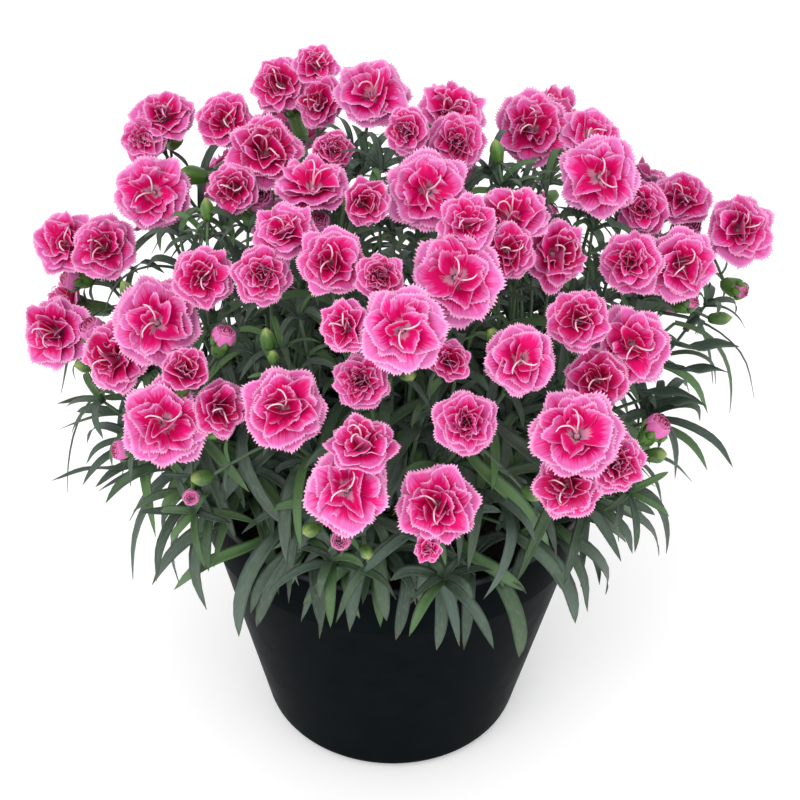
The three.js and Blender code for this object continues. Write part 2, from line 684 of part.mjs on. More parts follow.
// A folded blade from a base of [left, right, keel] point numbers, through two points and out to a tip.
const BLADE_SIDES = [[0, 1], [1, 2], [2, 0]];
const BLADE_HALF_WIDTHS = [0.42, 0.5];
function addBlade(base, line, across, width, points, faces) {
  const keel = Math.max(LEAF.leastKeel, LEAF.keel * width);
  let from = base;
  BLADE_HALF_WIDTHS.forEach((share, k) => {
    const way = unit(line[k + 2].clone().sub(line[k]));
    const over = cross(way, across).normalize();
    const to = [0, 1, 2].map((i) => points.length + i);
    const p = line[k + 1];
    points.push(along(p, across, -share * width), along(p, across, share * width), along(p, over, -keel));
    for (const [a, b] of BLADE_SIDES) faces.push([from[a], to[a], to[b]], [from[a], to[b], from[b]]);
    from = to;
  });
  points.push(line[3]);
  for (const [a, b] of BLADE_SIDES) faces.push([from[a], points.length - 1, from[b]]);
}

// A leafy shoot: a stem that widens into a hub, with a ring of blades growing out of the hub.
function shootSolid({ start, end, way, outward, width, turn, looks }, extraTurn, heads) {
  const side = squareTo(way, RIGHT).applyAxisAngle(way, turn + extraTurn);
  const neck = along(end, way, -TUFT.neck);
  const rising = unit(neck.clone().sub(start));
  const startSide = side.clone().applyQuaternion(new THREE.Quaternion().setFromUnitVectors(way, rising));
  const stem = [
    ring(start, rising, startSide, TUFT.stemRadius, STEM.sides),
    ring(neck, way, side, TUFT.stemRadius, STEM.sides),
  ];
  const level = ring(end, way, side, TUFT.hub, 2 * TUFT.leaves);
  const rim = level.map((p, i) => along(p, way, i % 2 ? -TUFT.hubHeight : 0));
  const points = [...stem, rim].flat();
  const faces = [];
  const first = bands([...stem, rim], faces);
  faces.push([0, 2, 1]);
  const top = points.push(along(end, way, TUFT.hubHeight)) - 1;
  looks.forEach(([length, rise, droop], k) => {
    const base = [2 * k, (2 * k + 2) % rim.length, 2 * k + 1].map((i) => first + i);
    const out = side.clone().applyAxisAngle(way, (2 * Math.PI * (k + 0.5)) / TUFT.leaves);
    const inward = (1 - TUFT.inwardShare) * Math.max(0, -out.dot(outward));
    const blade = leafPoints(end, way, out, length * (1 - inward), rise * (1 + inward), droop, heads);
    addBlade(base, blade, cross(way, out), width, points, faces);
    faces.push([top, base[0], base[1]]);
  });
  return solid(points, faces);
}

function budSolid({ place, axis, radius, foot, root }, extra = 0) {
  const points = [root, foot, along(place, axis, -BUD.base * radius)];
  const radii = [STALK.rootRadius, Math.min(STALK.radius, BUD.neck * radius), radius];
  const rings = tubeRings(points, radii.map((r) => r + extra), [STEM.sides, STEM.sides, BUD.sides]);
  return skin([...rings, [along(place, axis, BUD.tip * radius + extra)]]);
}

// Whether a line of points turns more sharply anywhere than a leaf can.
function kinked(line) {
  const steps = line.slice(1).map((p, k) => p.clone().sub(line[k]));
  return steps.slice(1).some((step, k) => step.angleTo(steps[k]) > LEAF.sharpest);
}

// Both leaves of a pair as one folded blade with a keel below, from tip to tip through the stem.
const PAIR_HALF_WIDTHS = [0, 0.5, 0.36, 0.36, 0.5, 0];
const SIMPLE_HALF_WIDTHS = [0, 0.5, 0.5, 0];
const SIMPLE_BEND = 0.3;
function pairSolid({ blades, across, width, simple }) {
  if (blades.some(kinked)) return null;
  const keel = Math.max(LEAF.leastKeel, LEAF.keel * width);
  const [one, two] = blades.map(([, inner, outer, tip]) =>
    simple ? [mix(inner, outer, SIMPLE_BEND), tip] : [inner, outer, tip],
  );
  const line = [...one.reverse(), ...two];
  const shares = simple ? SIMPLE_HALF_WIDTHS : PAIR_HALF_WIDTHS;
  const rings = line.map((p, k) => {
    if (shares[k] === 0) return [p];
    const way = unit(line[k + 1].clone().sub(line[k - 1]));
    const over = cross(way, across).normalize();
    const half = shares[k] * width;
    return [along(p, across, -half), along(p, across, half), along(p, over, -keel)];
  });
  return skin(rings);
}

// The woody stock of a cutting in its hole.
function stockSolid(cutting) {
  const { foot } = cuttingAxis(cutting);
  const r = CUTTINGS.stockRadius;
  const heights = [SOIL.top - SOIL.holeDepth, SOIL.top - CUTTINGS.stockNeck, CUTTINGS.stockTop];
  return tube(heights.map((z) => along(foot, UP, z)), [CUTTINGS.rootShare * r, r, r], CUTTINGS.sides);
}

// The cushion of young leaves that stands on a cutting's stock.
function cushionSolid(cutting) {
  const { foot, outward } = cuttingAxis(cutting);
  const sideways = cross(UP, outward);
  const rings = CUSHION.tiers.map(([count, share, height, drawn, drop], tier) =>
    Array.from({ length: count }, (_, i) => {
      const turn = (2 * Math.PI * (i + 0.5 * (tier % 2))) / count;
      const reach = share * (i % 2 ? 1 - drawn : 1);
      const flat = along(foot, outward, CUSHION.outward * reach * Math.cos(turn));
      const p = along(flat, sideways, CUSHION.sideways * reach * Math.sin(turn));
      return p.setZ(i % 2 ? height - drop : height);
    }),
  );
  return skin(rings);
}

const union = (list) => wasm.Manifold.union(list);
const bodyOf = (made) => made.decompose().sort((a, b) => b.volume() - a.volume())[0];

// A level ring of points about the vertical axis, at heights that may vary with place.
function circle(radius, sides, heightAt) {
  return Array.from({ length: radius === 0 ? 1 : sides }, (_, i) => {
    const turn = (2 * Math.PI * i) / sides;
    const [x, y] = [radius * Math.cos(turn), radius * Math.sin(turn)];
    return vector(x, y, heightAt(x, y));
  });
}

// An upright round hole between two heights.
const hole = (middle, heights, radius, sides) =>
  tube(heights.map((z) => middle.clone().setZ(z)), [radius, radius], sides);

// The pot's inner wall under its rim, from the floor up: [radius, height].
const COLLAR_FOOT = POT.height - POT.collarHeight;
const INNER_WALL = [
  [POT.baseRadius - POT.wall, POT.wall],
  [POT.neckRadius - POT.wall, COLLAR_FOOT - POT.lipDrop],
  [POT.collarRadius - POT.wall, COLLAR_FOOT + POT.wall],
];

function potSolid() {
  const innerRim = POT.rimRadius - POT.rimWidth;
  const profile = [
    [0, 0],
    [POT.baseRadius - POT.baseEdge, 0],
    [POT.baseRadius + POT.baseFlare, POT.baseEdge],
    [POT.neckRadius, COLLAR_FOOT],
    [POT.collarRadius, COLLAR_FOOT],
    [POT.rimRadius, POT.height - POT.rimHeight],
    [POT.rimRadius - POT.rimEdge, POT.height],
    [innerRim + POT.rimEdge, POT.height],
    [innerRim, POT.height - POT.lipDrop],
    ...INNER_WALL.toReversed(),
    [0, POT.wall],
  ];
  const shell = skin(profile.map(([radius, z]) => circle(radius, POT.sides, () => z)));
  const drains = Array.from({ length: POT.drainHoles }, (_, i) => {
    const turn = (2 * Math.PI * i) / POT.drainHoles;
    const middle = vector(POT.drainCircle * Math.cos(turn), POT.drainCircle * Math.sin(turn), 0);
    return hole(middle, [-POT.wall, 2 * POT.wall], POT.drainRadius, POT.drainSides);
  });
  return shell.subtract(union(drains));
}

// The height of the soil's rough top at a point.
function soilHeight(x, y) {
  const dome = SOIL.rise * (1 - (x * x + y * y) / SOIL.riseReach ** 2);
  return SOIL.top + dome + SOIL.roughness * Math.sin(SOIL.ripples[0] * x + 1) * Math.cos(SOIL.ripples[1] * y);
}

function soilSolid() {
  const sides = INNER_WALL.map(([radius, z]) => [radius - 2 * SOIL.gap, z + SOIL.gap]);
  const under = [[0, sides[0][1]], ...sides].map(([radius, z]) => circle(radius, POT.sides, () => z));
  const edge = circle(sides.at(-1)[0], POT.sides, soilHeight);
  const top = [...SOIL.rings, 0].map((radius) => circle(radius, SOIL.ringSides, soilHeight));
  const holes = Array.from({ length: CUTTINGS.count }, (_, k) => {
    const heights = [SOIL.top - 1.1 * SOIL.holeDepth, SOIL.top + 2 * SOIL.rise];
    return hole(cuttingAxis(k).foot, heights, SOIL.holeRadius, CUTTINGS.sides);
  });
  return skin([...under, edge, ...top]).subtract(union(holes));
}

// A solid with its box, and whether one is clear of others by a gap.
const boxed = (made) => ({ made, box: made.boundingBox() });
const below = (a, b) => [0, 1, 2].every((i) => a.box.min[i] <= b.box.max[i] + 1);
const near = (a, b) => below(a, b) && below(b, a);
const clear = (piece, others, gap) =>
  others.every((other) => !near(piece, other) || piece.made.minGap(other.made, 2 * gap) > gap);

// ---------- Putting the pieces together ----------
const heads = planHeads();
const stems = planStems(heads);
const shoots = planShoots(heads);
const buds = planBuds(heads, stems);

const pot = potSolid();
const soil = soilSolid();

// What a head is cut clear of: every stem, stalk and bud.
const sideStalks = (list, extra) =>
  list.flatMap((stem) => stem.heads.slice(1).map((head) => calyxSolid(head, extra)));
const cutters = [
  ...stems.map((stem) => stemSolid(stem, TOUCHING)),
  ...sideStalks(stems, TOUCHING),
  ...buds.map((bud) => budSolid(bud, TOUCHING)),
].map(boxed);

const blooms = stems.map((stem) => {
  const own = boxed(union(stem.heads.map(headSolid)));
  const crossing = cutters.filter((green) => near(green, own));
  return bodyOf(own.made.subtract(union(crossing.map((green) => green.made))));
});

// What `make` makes, turned so that it crosses no other piece, and as few of its own cutting's as it can.
// It is left out where each turning crosses more of those than `most`.
const TURNS = [0, 0.25, -0.25, 0.5, -0.5, 0.75, -0.75, 1, -1, 1.3, -1.3];
function turnedClear(make, others, own, most) {
  let best = null;
  let fewest = most + 1;
  for (const turn of TURNS) {
    const made = make(turn);
    if (!made) continue;
    const piece = boxed(made);
    if (!clear(piece, others, TOUCHING)) continue;
    const crossings = own.filter((green) => !clear(piece, [green], LEAF.gap)).length;
    if (crossings < fewest) [best, fewest] = [piece, crossings];
    if (crossings === 0) break;
  }
  return best;
}

// Each cutting's stems first, then its shoots and its leaf pairs.
const fixed = [pot, soil, ...blooms].map(boxed);
const woody = Array.from({ length: CUTTINGS.count }, (_, cutting) => {
  const own = stems.filter((stem) => stem.cutting === cutting);
  const ownBuds = buds.filter((bud) => bud.cutting === cutting);
  return [
    union([stockSolid(cutting), cushionSolid(cutting)]),
    ...own.map((stem) => stemSolid(stem)),
    ...sideStalks(own),
    ...ownBuds.map((bud) => budSolid(bud)),
  ].map(boxed);
});
woody.forEach((own, cutting) => {
  const others = [...fixed, ...woody.filter((list) => list !== own).flat()];
  const ofCutting = (piece) => piece.cutting === cutting;
  for (const shoot of shoots.filter(ofCutting)) {
    const made = turnedClear((turn) => shootSolid(shoot, turn, heads), others, own.slice(1), SHOOT_CROSSINGS);
    if (made) own.push(made);
  }
  for (const pair of stems.filter(ofCutting).flatMap((stem) => stem.pairs)) {
    const made = turnedClear((turn) => pairSolid(pair(turn)), others, own, PAIR_CROSSINGS);
    if (made) own.push(made);
  }
});
const plants = woody.map((own) => bodyOf(union(own.map((piece) => piece.made))));

// ---------- The model ----------
const MATERIALS = {
  pot: { color: 0x1a1c20, roughness: 0.42, metalness: 0 },
  soil: { color: 0x2b211a, roughness: 0.95, metalness: 0 },
  foliage: { color: 0x4a6647, roughness: 0.6, metalness: 0 },
  petals: { color: 0xd93a86, roughness: 0.55, metalness: 0 },
};

const FLATNESS = 0.02;
function mesh(name, made, material) {
  const { vertProperties, triVerts, numProp } = made.simplify(FLATNESS).getMesh();
  const count = vertProperties.length / numProp;
  const positions = new Float32Array(count * 3);
  for (let i = 0; i < count; i++) positions.set(vertProperties.subarray(i * numProp, i * numProp + 3), i * 3);
  const geometry = new THREE.BufferGeometry()
    .setAttribute("position", new THREE.BufferAttribute(positions, 3))
    .setIndex(new THREE.BufferAttribute(new Uint32Array(triVerts), 1));
  const smooth = mergeVertices(geometry);
  smooth.computeVertexNormals();
  const object = new THREE.Mesh(smooth, new THREE.MeshStandardMaterial(MATERIALS[material]));
  object.name = name;
  return object;
}

const model = new THREE.Group();
model.add(mesh("pot", pot, "pot"), mesh("soil", soil, "soil"));
plants.forEach((made, k) => model.add(mesh(`plant_${k + 1}`, made, "foliage")));
blooms.forEach((made, k) => model.add(mesh(`bloom_${String(k + 1).padStart(2, "0")}`, made, "petals")));

export default model;
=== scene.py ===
"""The looks of a potted dianthus: its petals, leaves, stems, compost and pot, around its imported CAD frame.

The plan is in millimetres and repeats the layout of the CAD source. Meshes are in metres.
+Z is up, the front is -Y, and the origin is the middle of the pot's flat underside.
"""
import math
import random
from types import SimpleNamespace as Record

import bpy
import numpy as np
from mathutils import Matrix, Vector


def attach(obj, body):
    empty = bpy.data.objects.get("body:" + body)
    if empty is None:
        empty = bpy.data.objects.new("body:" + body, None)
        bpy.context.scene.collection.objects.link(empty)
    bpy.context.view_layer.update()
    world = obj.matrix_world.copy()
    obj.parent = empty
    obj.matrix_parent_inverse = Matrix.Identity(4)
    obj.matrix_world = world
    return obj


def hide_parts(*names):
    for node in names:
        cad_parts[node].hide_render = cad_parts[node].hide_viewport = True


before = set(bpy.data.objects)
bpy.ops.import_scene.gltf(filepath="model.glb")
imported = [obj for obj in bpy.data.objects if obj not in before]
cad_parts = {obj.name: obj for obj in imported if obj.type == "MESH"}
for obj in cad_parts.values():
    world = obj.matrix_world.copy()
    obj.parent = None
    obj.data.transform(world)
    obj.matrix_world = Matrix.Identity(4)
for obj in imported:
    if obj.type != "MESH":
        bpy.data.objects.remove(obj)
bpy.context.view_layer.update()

MM = 0.001
FULL_TURN = 2 * math.pi

# ---------- Driving dimensions, as in the CAD source ----------
POT = Record(height=185, base_radius=75, base_edge=5, neck_radius=108.5, collar_height=38,
             collar_radius=111, rim_radius=115, rim_width=6, wall=2.5, drain_holes=4, drain_radius=6,
             drain_circle=50)
SOIL = Record(top=166, rise=4, rise_reach=110, gap=0.3, hole_depth=34)
MOUND = Record(middle=215, reach=195, rise=190)
CUTTINGS = Record(count=5, circle=62, first_angle=-90, fan_start=195, fan_share=0.2, fan_radius=20)
STEM = Record(fork=12, radius=1.25, top_radius=0.95)
BOW = Record(up=0.34, out=0.06, down=0.22, back=0.1)
STALK = Record(highest=0.96, step=0.06, radius=0.85)
CALYX = Record(length=17, radius=4.8, share=0.28)
BUD = Record(sunk=12, clearance=3, length=1.9)
BACK_BUD_RADII = (4, 6.5)
LEAF_CLEARANCE = 4
OVER_SOIL = Record(reach=85, clearance=10)
ARCH = [(0.3, 0.3, 0), (0.68, 0.42, 0.35), (0.94, 0.3, 1)]
LOW_STEMS_BELOW = 290
LOW_PAIRS = [(0.4, 78, 8.5, 0.6, 0.4), (0.72, 64, 7, 0.7, 0.3)]
HIGH_PAIRS = [(0.66, 62, 6.5, 0.8, 0.2)]
TUFTS = [
    Record(count=13, first=-90, reach=105, height=200, length=63, width=8.5, rise=0.35, droop=0.55),
    Record(count=12, first=-76, reach=140, height=226, length=60, width=7.5, rise=0.45, droop=0.35),
    Record(count=5, first=-54, reach=72, height=222, length=58, width=7.5, rise=0.9, droop=0.2),
]
TUFT = Record(leaves=5, spread=7, start_height=178, start_share=0.4, inward_share=0.45, front_trim=0.28)
HEAD = Record(seat=0.42, depth=0.4, touch=0.8, closest=0.55, gap=1.5)
SETTLE = Record(rounds=60, push=0.3, pull=0.25, slip=0.5)
SIGHT = Record(distance=1400, height=224, tilt=39.3, roll=-1.19, unit=2480, across=397, down=400)

OPEN, ROSE, CUP, WIDE = "open", "rose", "cup", "wide"
CLOSED, OPENING, TIGHT = "closed", "opening", "tight"

# Clusters of heads: (across, down, width, lean right, lean up, paleness from 0 to 1, form unless open).
FRONT_HEADS = [
    [(276, 84, 62, -0.3, 0.2, 0.25), (318, 62, 50, 0.1, 0.6, 0.4), (318, 102, 60, -0.5, 0.1, 0.2)],
    [(374, 90, 84, 0.1, 0.5, 0.75)], [(453, 105, 74, 0.1, 0.7, 0.5), (456, 142, 66, 0.1, 0.1, 0.3, ROSE)],
    [(406, 131, 54, -0.45, 0, 0.2, ROSE)], [(533, 127, 86, 0.1, 0.25, 0.35),
    (592, 131, 62, 0.3, 0.5, 0.75)], [(600, 177, 90, 0, 0, 0.7)], [(164, 112, 72, 0, 0.65, 0.5),
    (143, 138, 52, -0.3, 0.1, 0.45, ROSE)], [(225, 119, 64, -0.1, 0.35, 0.3)],
    [(152, 193, 84, -0.1, 0, 0.6)], [(268, 148, 84, 0.2, 0.45, 0.15), (232, 190, 58, -0.3, -0.1, 0.1)],
    [(333, 150, 48, 0.3, 0.5, 0.05, ROSE)], [(313, 181, 86, 0, 0.75, 0.55)],
    [(365, 203, 58, 0.4, 0, 0.1, CUP)], [(428, 190, 90, 0, 0.05, 0.6)], [(512, 211, 84, 0, 0.75, 0.55),
    (510, 251, 62, 0.3, 0, 0.2)], [(456, 278, 100, 0, 0, 0.65), (468, 222, 66, 0.1, 0.4, 0.5)],
    [(642, 208, 60, -0.4, 0, 0.3, ROSE)], [(683, 196, 66, 0.1, 0.55, 0.4)],
    [(742, 228, 78, 0.3, 0.2, 0.45)], [(64, 241, 70, -0.3, 0.35, 0.45), (103, 247, 72, -0.1, 0.1, 0.35)],
    [(285, 228, 70, 0, 0.5, 0.5), (262, 276, 66, 0.1, 0, 0.25, ROSE)], [(331, 261, 76, 0, 0.1, 0.4)],
    [(203, 277, 70, 0, 0.2, 0.3)], [(156, 322, 98, -0.05, 0.05, 0.75)], [(52, 332, 80, -0.45, 0.1, 0.45)],
    [(111, 359, 80, -0.55, -0.1, 0.2)], [(165, 422, 96, 0, 0, 0.6), (222, 409, 66, 0.35, -0.1, 0.2)],
    [(285, 407, 92, 0.1, 0.05, 0.4)], [(186, 371, 56, 0.1, 0.5, 0.1, CUP)],
    [(380, 276, 54, 0, 0.3, 0.1, ROSE)], [(402, 329, 94, 0, 0.05, 0.8), (344, 326, 60, -0.4, 0, 0.25)],
    [(361, 381, 64, -0.15, 0.1, 0.3, ROSE)], [(450, 361, 50, 0.3, 0.2, 0.2, CUP)],
    [(466, 423, 72, 0, 0, 0.35, ROSE)], [(521, 360, 78, 0.05, 0, 0.55)], [(560, 254, 80, 0.6, 0, 0.25)],
    [(631, 262, 72, -0.1, 0.1, 0.35, ROSE), (684, 265, 82, 0.4, -0.1, 0.5)],
    [(578, 319, 70, 0, 0.2, 0.25)], [(634, 345, 86, 0.2, 0, 0.45), (597, 379, 72, 0, 0.1, 0.1)],
    [(577, 432, 100, 0, 0.25, 0.6), (620, 462, 68, 0.4, -0.1, 0.2, ROSE),
    (563, 488, 74, -0.1, -0.15, 0.15)], [(347, 490, 92, 0, 0, 0.7), (362, 441, 76, 0, 0.7, 0.25)],
    [(437, 505, 92, 0, 0, 0.4), (428, 549, 34, 0, -0.4, 0.4, CUP)],
]

# Pairs of heads at the back: (angle round the pot, angle above the mound's middle).
BACK_PAIRS = [(54, 37), (116, 38), (36, 23), (82, 24), (120, 18), (152, 31),
              (34, 11), (66, 1), (86, 6), (112, -3), (160, 12)]
BACK_WIDTHS = (38, 50)
BACK_OPEN_SHARE = 0.7
BACK_APART = 0.75
BACK_LEANS = Record(aside=(0, 0.4), up=(-0.1, 0.3))
BACK_PALE = 0.45
BACK_BUDS_SHARE = 0.98

# Buds of the front: (across, down, width, lean right, lean up). Those of the second list show petals.
GREEN_BUDS = [
    (267, 337, 17, 0, 0.5), (273, 356, 13, 0.1, 0.2), (310, 530, 17, -0.2, 0.1), (367, 553, 15, 0.2, -0.1),
    (222, 436, 17, 0.2, 0.6), (200, 478, 18, -0.3, 0.3), (722, 318, 15, 0.7, 0.5), (497, 149, 16, 0, 0.8),
    (657, 455, 18, 0.3, -0.2), (530, 499, 16, 0.2, 0.2), (84, 365, 17, -0.3, -0.1),
    (208, 207, 15, -0.2, 0.7), (408, 374, 18, 0.2, -0.2), (493, 335, 16, -0.4, 0.3),
    (127, 290, 17, -0.1, 0.5), (175, 140, 18, 0.7, -0.1),
]
PINK_BUDS = [
    (262, 184, 30, -0.1, 0.75), (223, 338, 24, 0.1, 0.7), (693, 218, 28, -0.2, 0.7),
    (656, 428, 26, 0.1, 0.7), (122, 450, 20, -0.5, 0.4), (93, 331, 26, 0.1, 0.65),
    (341, 540, 20, 0.1, 0.3), (73, 279, 22, -0.8, 0.3), (319, 206, 22, 0.2, 0.6),
    (737, 289, 22, 0.75, 0.5), (690, 304, 22, 0.5, 0.6), (191, 497, 16, -0.2, 0.4),
]
BACK_BUDS = [(24, 40), (58, 17), (83, 41), (98, 12), (121, 17), (152, 42)]
# Pink buds whose calyx still holds all but the tip of the petals: (across, down).
TIGHT_BUDS = [(737, 289), (690, 304)]

# Leaves that hang in front of the pot or stand out at its sides:
# (root across, root down, tip across, tip down, width, reach of root and of tip from the pot's axis).
HANGING = [
    (178, 470, 131, 580, 8, 128, 164), (232, 515, 151, 585, 9, 120, 156),
    (250, 548, 172, 590, 7, 118, 144), (220, 500, 205, 611, 9, 122, 136),
    (272, 540, 240, 636, 9, 122, 133), (300, 548, 258, 626, 8, 122, 131),
    (290, 485, 299, 585, 8.5, 130, 134), (330, 560, 322, 621, 7.5, 122, 130),
    (356, 556, 304, 603, 7.5, 121, 128), (378, 548, 387, 624, 8, 122, 132),
    (392, 565, 441, 599, 7, 121, 128), (425, 555, 418, 601, 6, 121, 127),
    (440, 566, 437, 652, 7.5, 120, 129), (450, 563, 452, 612, 7, 121, 128),
    (512, 520, 484, 601, 7, 128, 134), (498, 578, 520, 658, 9, 122, 130),
    (470, 556, 527, 592, 7, 121, 129), (538, 548, 573, 622, 9, 122, 134),
    (562, 535, 611, 596, 8.5, 122, 138), (575, 512, 629, 543, 7.5, 126, 146),
    (604, 505, 660, 556, 7.5, 126, 152), (640, 490, 664, 553, 8, 128, 156),
    (636, 460, 664, 503, 7, 130, 156), (650, 455, 694, 480, 6, 135, 170),
    (668, 430, 707, 470, 7, 140, 175), (672, 405, 708, 406, 6, 145, 178),
    (655, 395, 709, 405, 6, 142, 178), (700, 330, 730, 413, 5.5, 160, 186),
    (696, 350, 740, 347, 6, 160, 188), (690, 372, 731, 372, 6, 158, 184), (118, 470, 51, 477, 6, 140, 178),
    (112, 400, 57, 404, 6.5, 148, 182), (116, 415, 61, 430, 6, 148, 180), (140, 462, 95, 487, 7, 138, 160),
    (150, 470, 100, 492, 7, 134, 156), (300, 500, 345, 560, 8, 126, 128),
    (330, 500, 296, 556, 8, 128, 128), (400, 470, 352, 540, 8, 132, 128),
    (480, 470, 548, 545, 8, 130, 130), (510, 440, 580, 505, 8, 138, 140),
    (240, 440, 300, 540, 8, 140, 128), (262, 460, 210, 535, 8, 136, 134),
    (520, 540, 566, 592, 7, 122, 131), (196, 505, 176, 588, 7, 122, 140),
    (556, 480, 640, 520, 7, 130, 150), (585, 545, 600, 585, 6, 121, 136),
    (345, 575, 360, 618, 6, 121, 127), (408, 575, 396, 640, 7, 121, 129),
]

# Leafy shoots that stand between the heads of the mound's upper part: (across, down).
SPARE_SHOOTS = [
    (352, 150), (366, 162), (380, 172), (358, 178), (490, 176), (507, 196), (522, 188), (546, 184),
    (500, 188), (578, 218), (610, 226), (225, 232), (248, 232), (207, 240), (394, 236), (416, 246),
    (334, 212), (180, 236), (705, 306), (640, 300), (462, 340), (300, 318), (380, 228), (592, 232),
    (104, 402), (150, 372), (258, 356), (196, 512), (628, 492), (284, 350),
]

rng = random.Random(53)

UP = np.array((0.0, 0.0, 1.0))
RIGHT = np.array((1.0, 0.0, 0.0))
TILT = math.radians(SIGHT.tilt)
FORWARD = np.array((0.0, math.cos(TILT), -math.sin(TILT)))
TOP = np.array((0.0, math.sin(TILT), math.cos(TILT)))
EYE = UP * SIGHT.height - FORWARD * SIGHT.distance
MOUND_SIZE = np.array((MOUND.reach, MOUND.reach, MOUND.rise))


# ---------- Small helpers ----------
def length_of(v):
    return math.sqrt(v @ v)


def unit(v):
    return v / length_of(v)


def cross(a, b):
    return np.array((a[1] * b[2] - a[2] * b[1], a[2] * b[0] - a[0] * b[2], a[0] * b[1] - a[1] * b[0]))


def square_to(axis, wish):
    """A direction square to axis that leans as little as it can from wish."""
    return unit(wish - axis * (wish @ axis))


def turned(v, axis, angle):
    """v turned round a unit axis."""
    c, s = math.cos(angle), math.sin(angle)
    return v * c + cross(axis, v) * s + axis * ((axis @ v) * (1 - c))


def around(angle):
    """The level way at an angle round the pot's axis."""
    return np.array((math.cos(angle), math.sin(angle), 0.0))


def at_height(p, z):
    return np.array((p[0], p[1], z), float)


def rows_unit(v):
    return v / np.maximum(np.linalg.norm(v, axis=-1, keepdims=True), 1e-9)


def smooth_step(low, high, x):
    t = np.clip((x - low) / (high - low), 0, 1)
    return t * t * (3 - 2 * t)


def bezier(a, b, c, d, t):
    t = np.asarray(t, float)[..., None]
    return (1 - t) ** 3 * a + 3 * (1 - t) ** 2 * t * b + 3 * (1 - t) * t * t * c + t ** 3 * d


def smooth_line(points, count):
    """count points evenly spaced in parameter along a smooth line through points."""
    p = np.array(points, float)
    ends = np.vstack([2 * p[0] - p[1], p, 2 * p[-1] - p[-2]])
    t = np.linspace(0, len(p) - 1, count)
    k = np.minimum(t.astype(int), len(p) - 2)
    f = (t - k)[:, None]
    a, b, c, d = ends[k], ends[k + 1], ends[k + 2], ends[k + 3]
    bends = (c - a) * f + (2 * a - 5 * b + 4 * c - d) * f ** 2 + (3 * b - a - 3 * c + d) * f ** 3
    return 0.5 * (2 * b + bends)


def drawer(seed):
    """The CAD source's repeatable random draw between two limits."""
    state = [seed]

    def draw(low, high):
        state[0] = (state[0] * 16807) % 2147483647
        return low + (high - low) * (state[0] / 2147483647)
    return draw


# ---------- The plan, as in the CAD source ----------
def on_mound(round_, above, share=1.0):
    round_, above = math.radians(round_), math.radians(above)
    flat = math.cos(above) * MOUND.reach * share
    return around(round_) * flat + UP * (MOUND.middle + MOUND.rise * share * math.sin(above))


def mound_normal(p):
    return unit((p - UP * MOUND.middle) / MOUND_SIZE ** 2)


def sight_line(across, down):
    c, s = math.cos(math.radians(SIGHT.roll)), math.sin(math.radians(SIGHT.roll))
    x, y = across - SIGHT.across, SIGHT.down - down
    return unit(FORWARD * SIGHT.unit + RIGHT * (c * x + s * y) + TOP * (c * y - s * x))


def first_met(line, a, b, k):
    """Where a sight line first meets a surface or passes nearest to it, from its equation's terms."""
    return EYE + line * ((-b - math.sqrt(max(0, b * b - a * k))) / a)


def sight_point(across, down):
    """Where a sight line meets the mound's skin."""
    line = sight_line(across, down)
    origin = (EYE - UP * MOUND.middle) / MOUND_SIZE
    way = line / MOUND_SIZE
    return first_met(line, way @ way, origin @ way, origin @ origin - 1)


def sight_reach(across, down, reach):
    """Where a sight line comes within reach of the pot's axis."""
    line = sight_line(across, down)
    k = EYE[0] ** 2 + EYE[1] ** 2 - reach ** 2
    return first_met(line, line[0] ** 2 + line[1] ** 2, EYE[0] * line[0] + EYE[1] * line[1], k)


def seen(across, down, width, lean_right, lean_up, pale=0.4, form=OPEN, **more):
    """A head or bud at its place in the photograph, which may slide along its sight line."""
    place = sight_point(across, down)
    towards = unit(EYE - place)
    sideways = square_to(towards, RIGHT)
    ahead = math.sqrt(1 - lean_right ** 2 - lean_up ** 2)
    axis = towards * ahead + sideways * lean_right + cross(towards, sideways) * lean_up
    radius = (width / 2) * ((place - EYE) @ FORWARD) / SIGHT.unit
    return Record(place=place, axis=axis, radius=radius, form=form, pale=pale, slide=towards, **more)


def head_reach(head, n):
    c = n @ head.axis
    return head.radius * math.sqrt(1 - c * c + (HEAD.depth * c) ** 2)


def draw_together(a, b):
    """Draws two heads of one cluster together along their sight lines, and sideways where they must."""
    between = b.place - a.place
    n = unit(between)
    apart = length_of(between) - HEAD.touch * (head_reach(a, n) + head_reach(b, n))
    outward = unit(a.slide + b.slide)
    depth = between @ outward
    sideways = between - outward * depth
    aside = unit(sideways)
    wide = length_of(sideways) - HEAD.touch * (head_reach(a, aside) + head_reach(b, aside))
    step = SETTLE.pull * max(0, wide)
    slid = SETTLE.slip * min(max(0, apart), abs(depth)) * (1 if depth > 0 else -1)
    a.place = a.place + aside * step + a.slide * slid
    b.place = b.place - aside * step - b.slide * slid


def settle_heads(heads):
    """Slides heads in and out until those of one cluster touch and all others are clear."""
    for _ in range(SETTLE.rounds):
        for i, a in enumerate(heads):
            for b in heads[i + 1:]:
                between = b.place - a.place
                distance = length_of(between)
                if distance > a.radius + b.radius + HEAD.gap:
                    continue
                n = between / distance
                reach = head_reach(a, n) + head_reach(b, n)
                mates = a.cluster == b.cluster
                least = HEAD.closest * reach if mates else reach + HEAD.gap
                if distance < least:
                    outer = 1 if between @ (a.slide + b.slide) >= 0 else -1
                    step = SETTLE.push * (least - distance) * outer
                    a.place = a.place - a.slide * step
                    b.place = b.place + b.slide * step
        for a, b in zip(heads, heads[1:]):
            if a.cluster == b.cluster:
                draw_together(a, b)


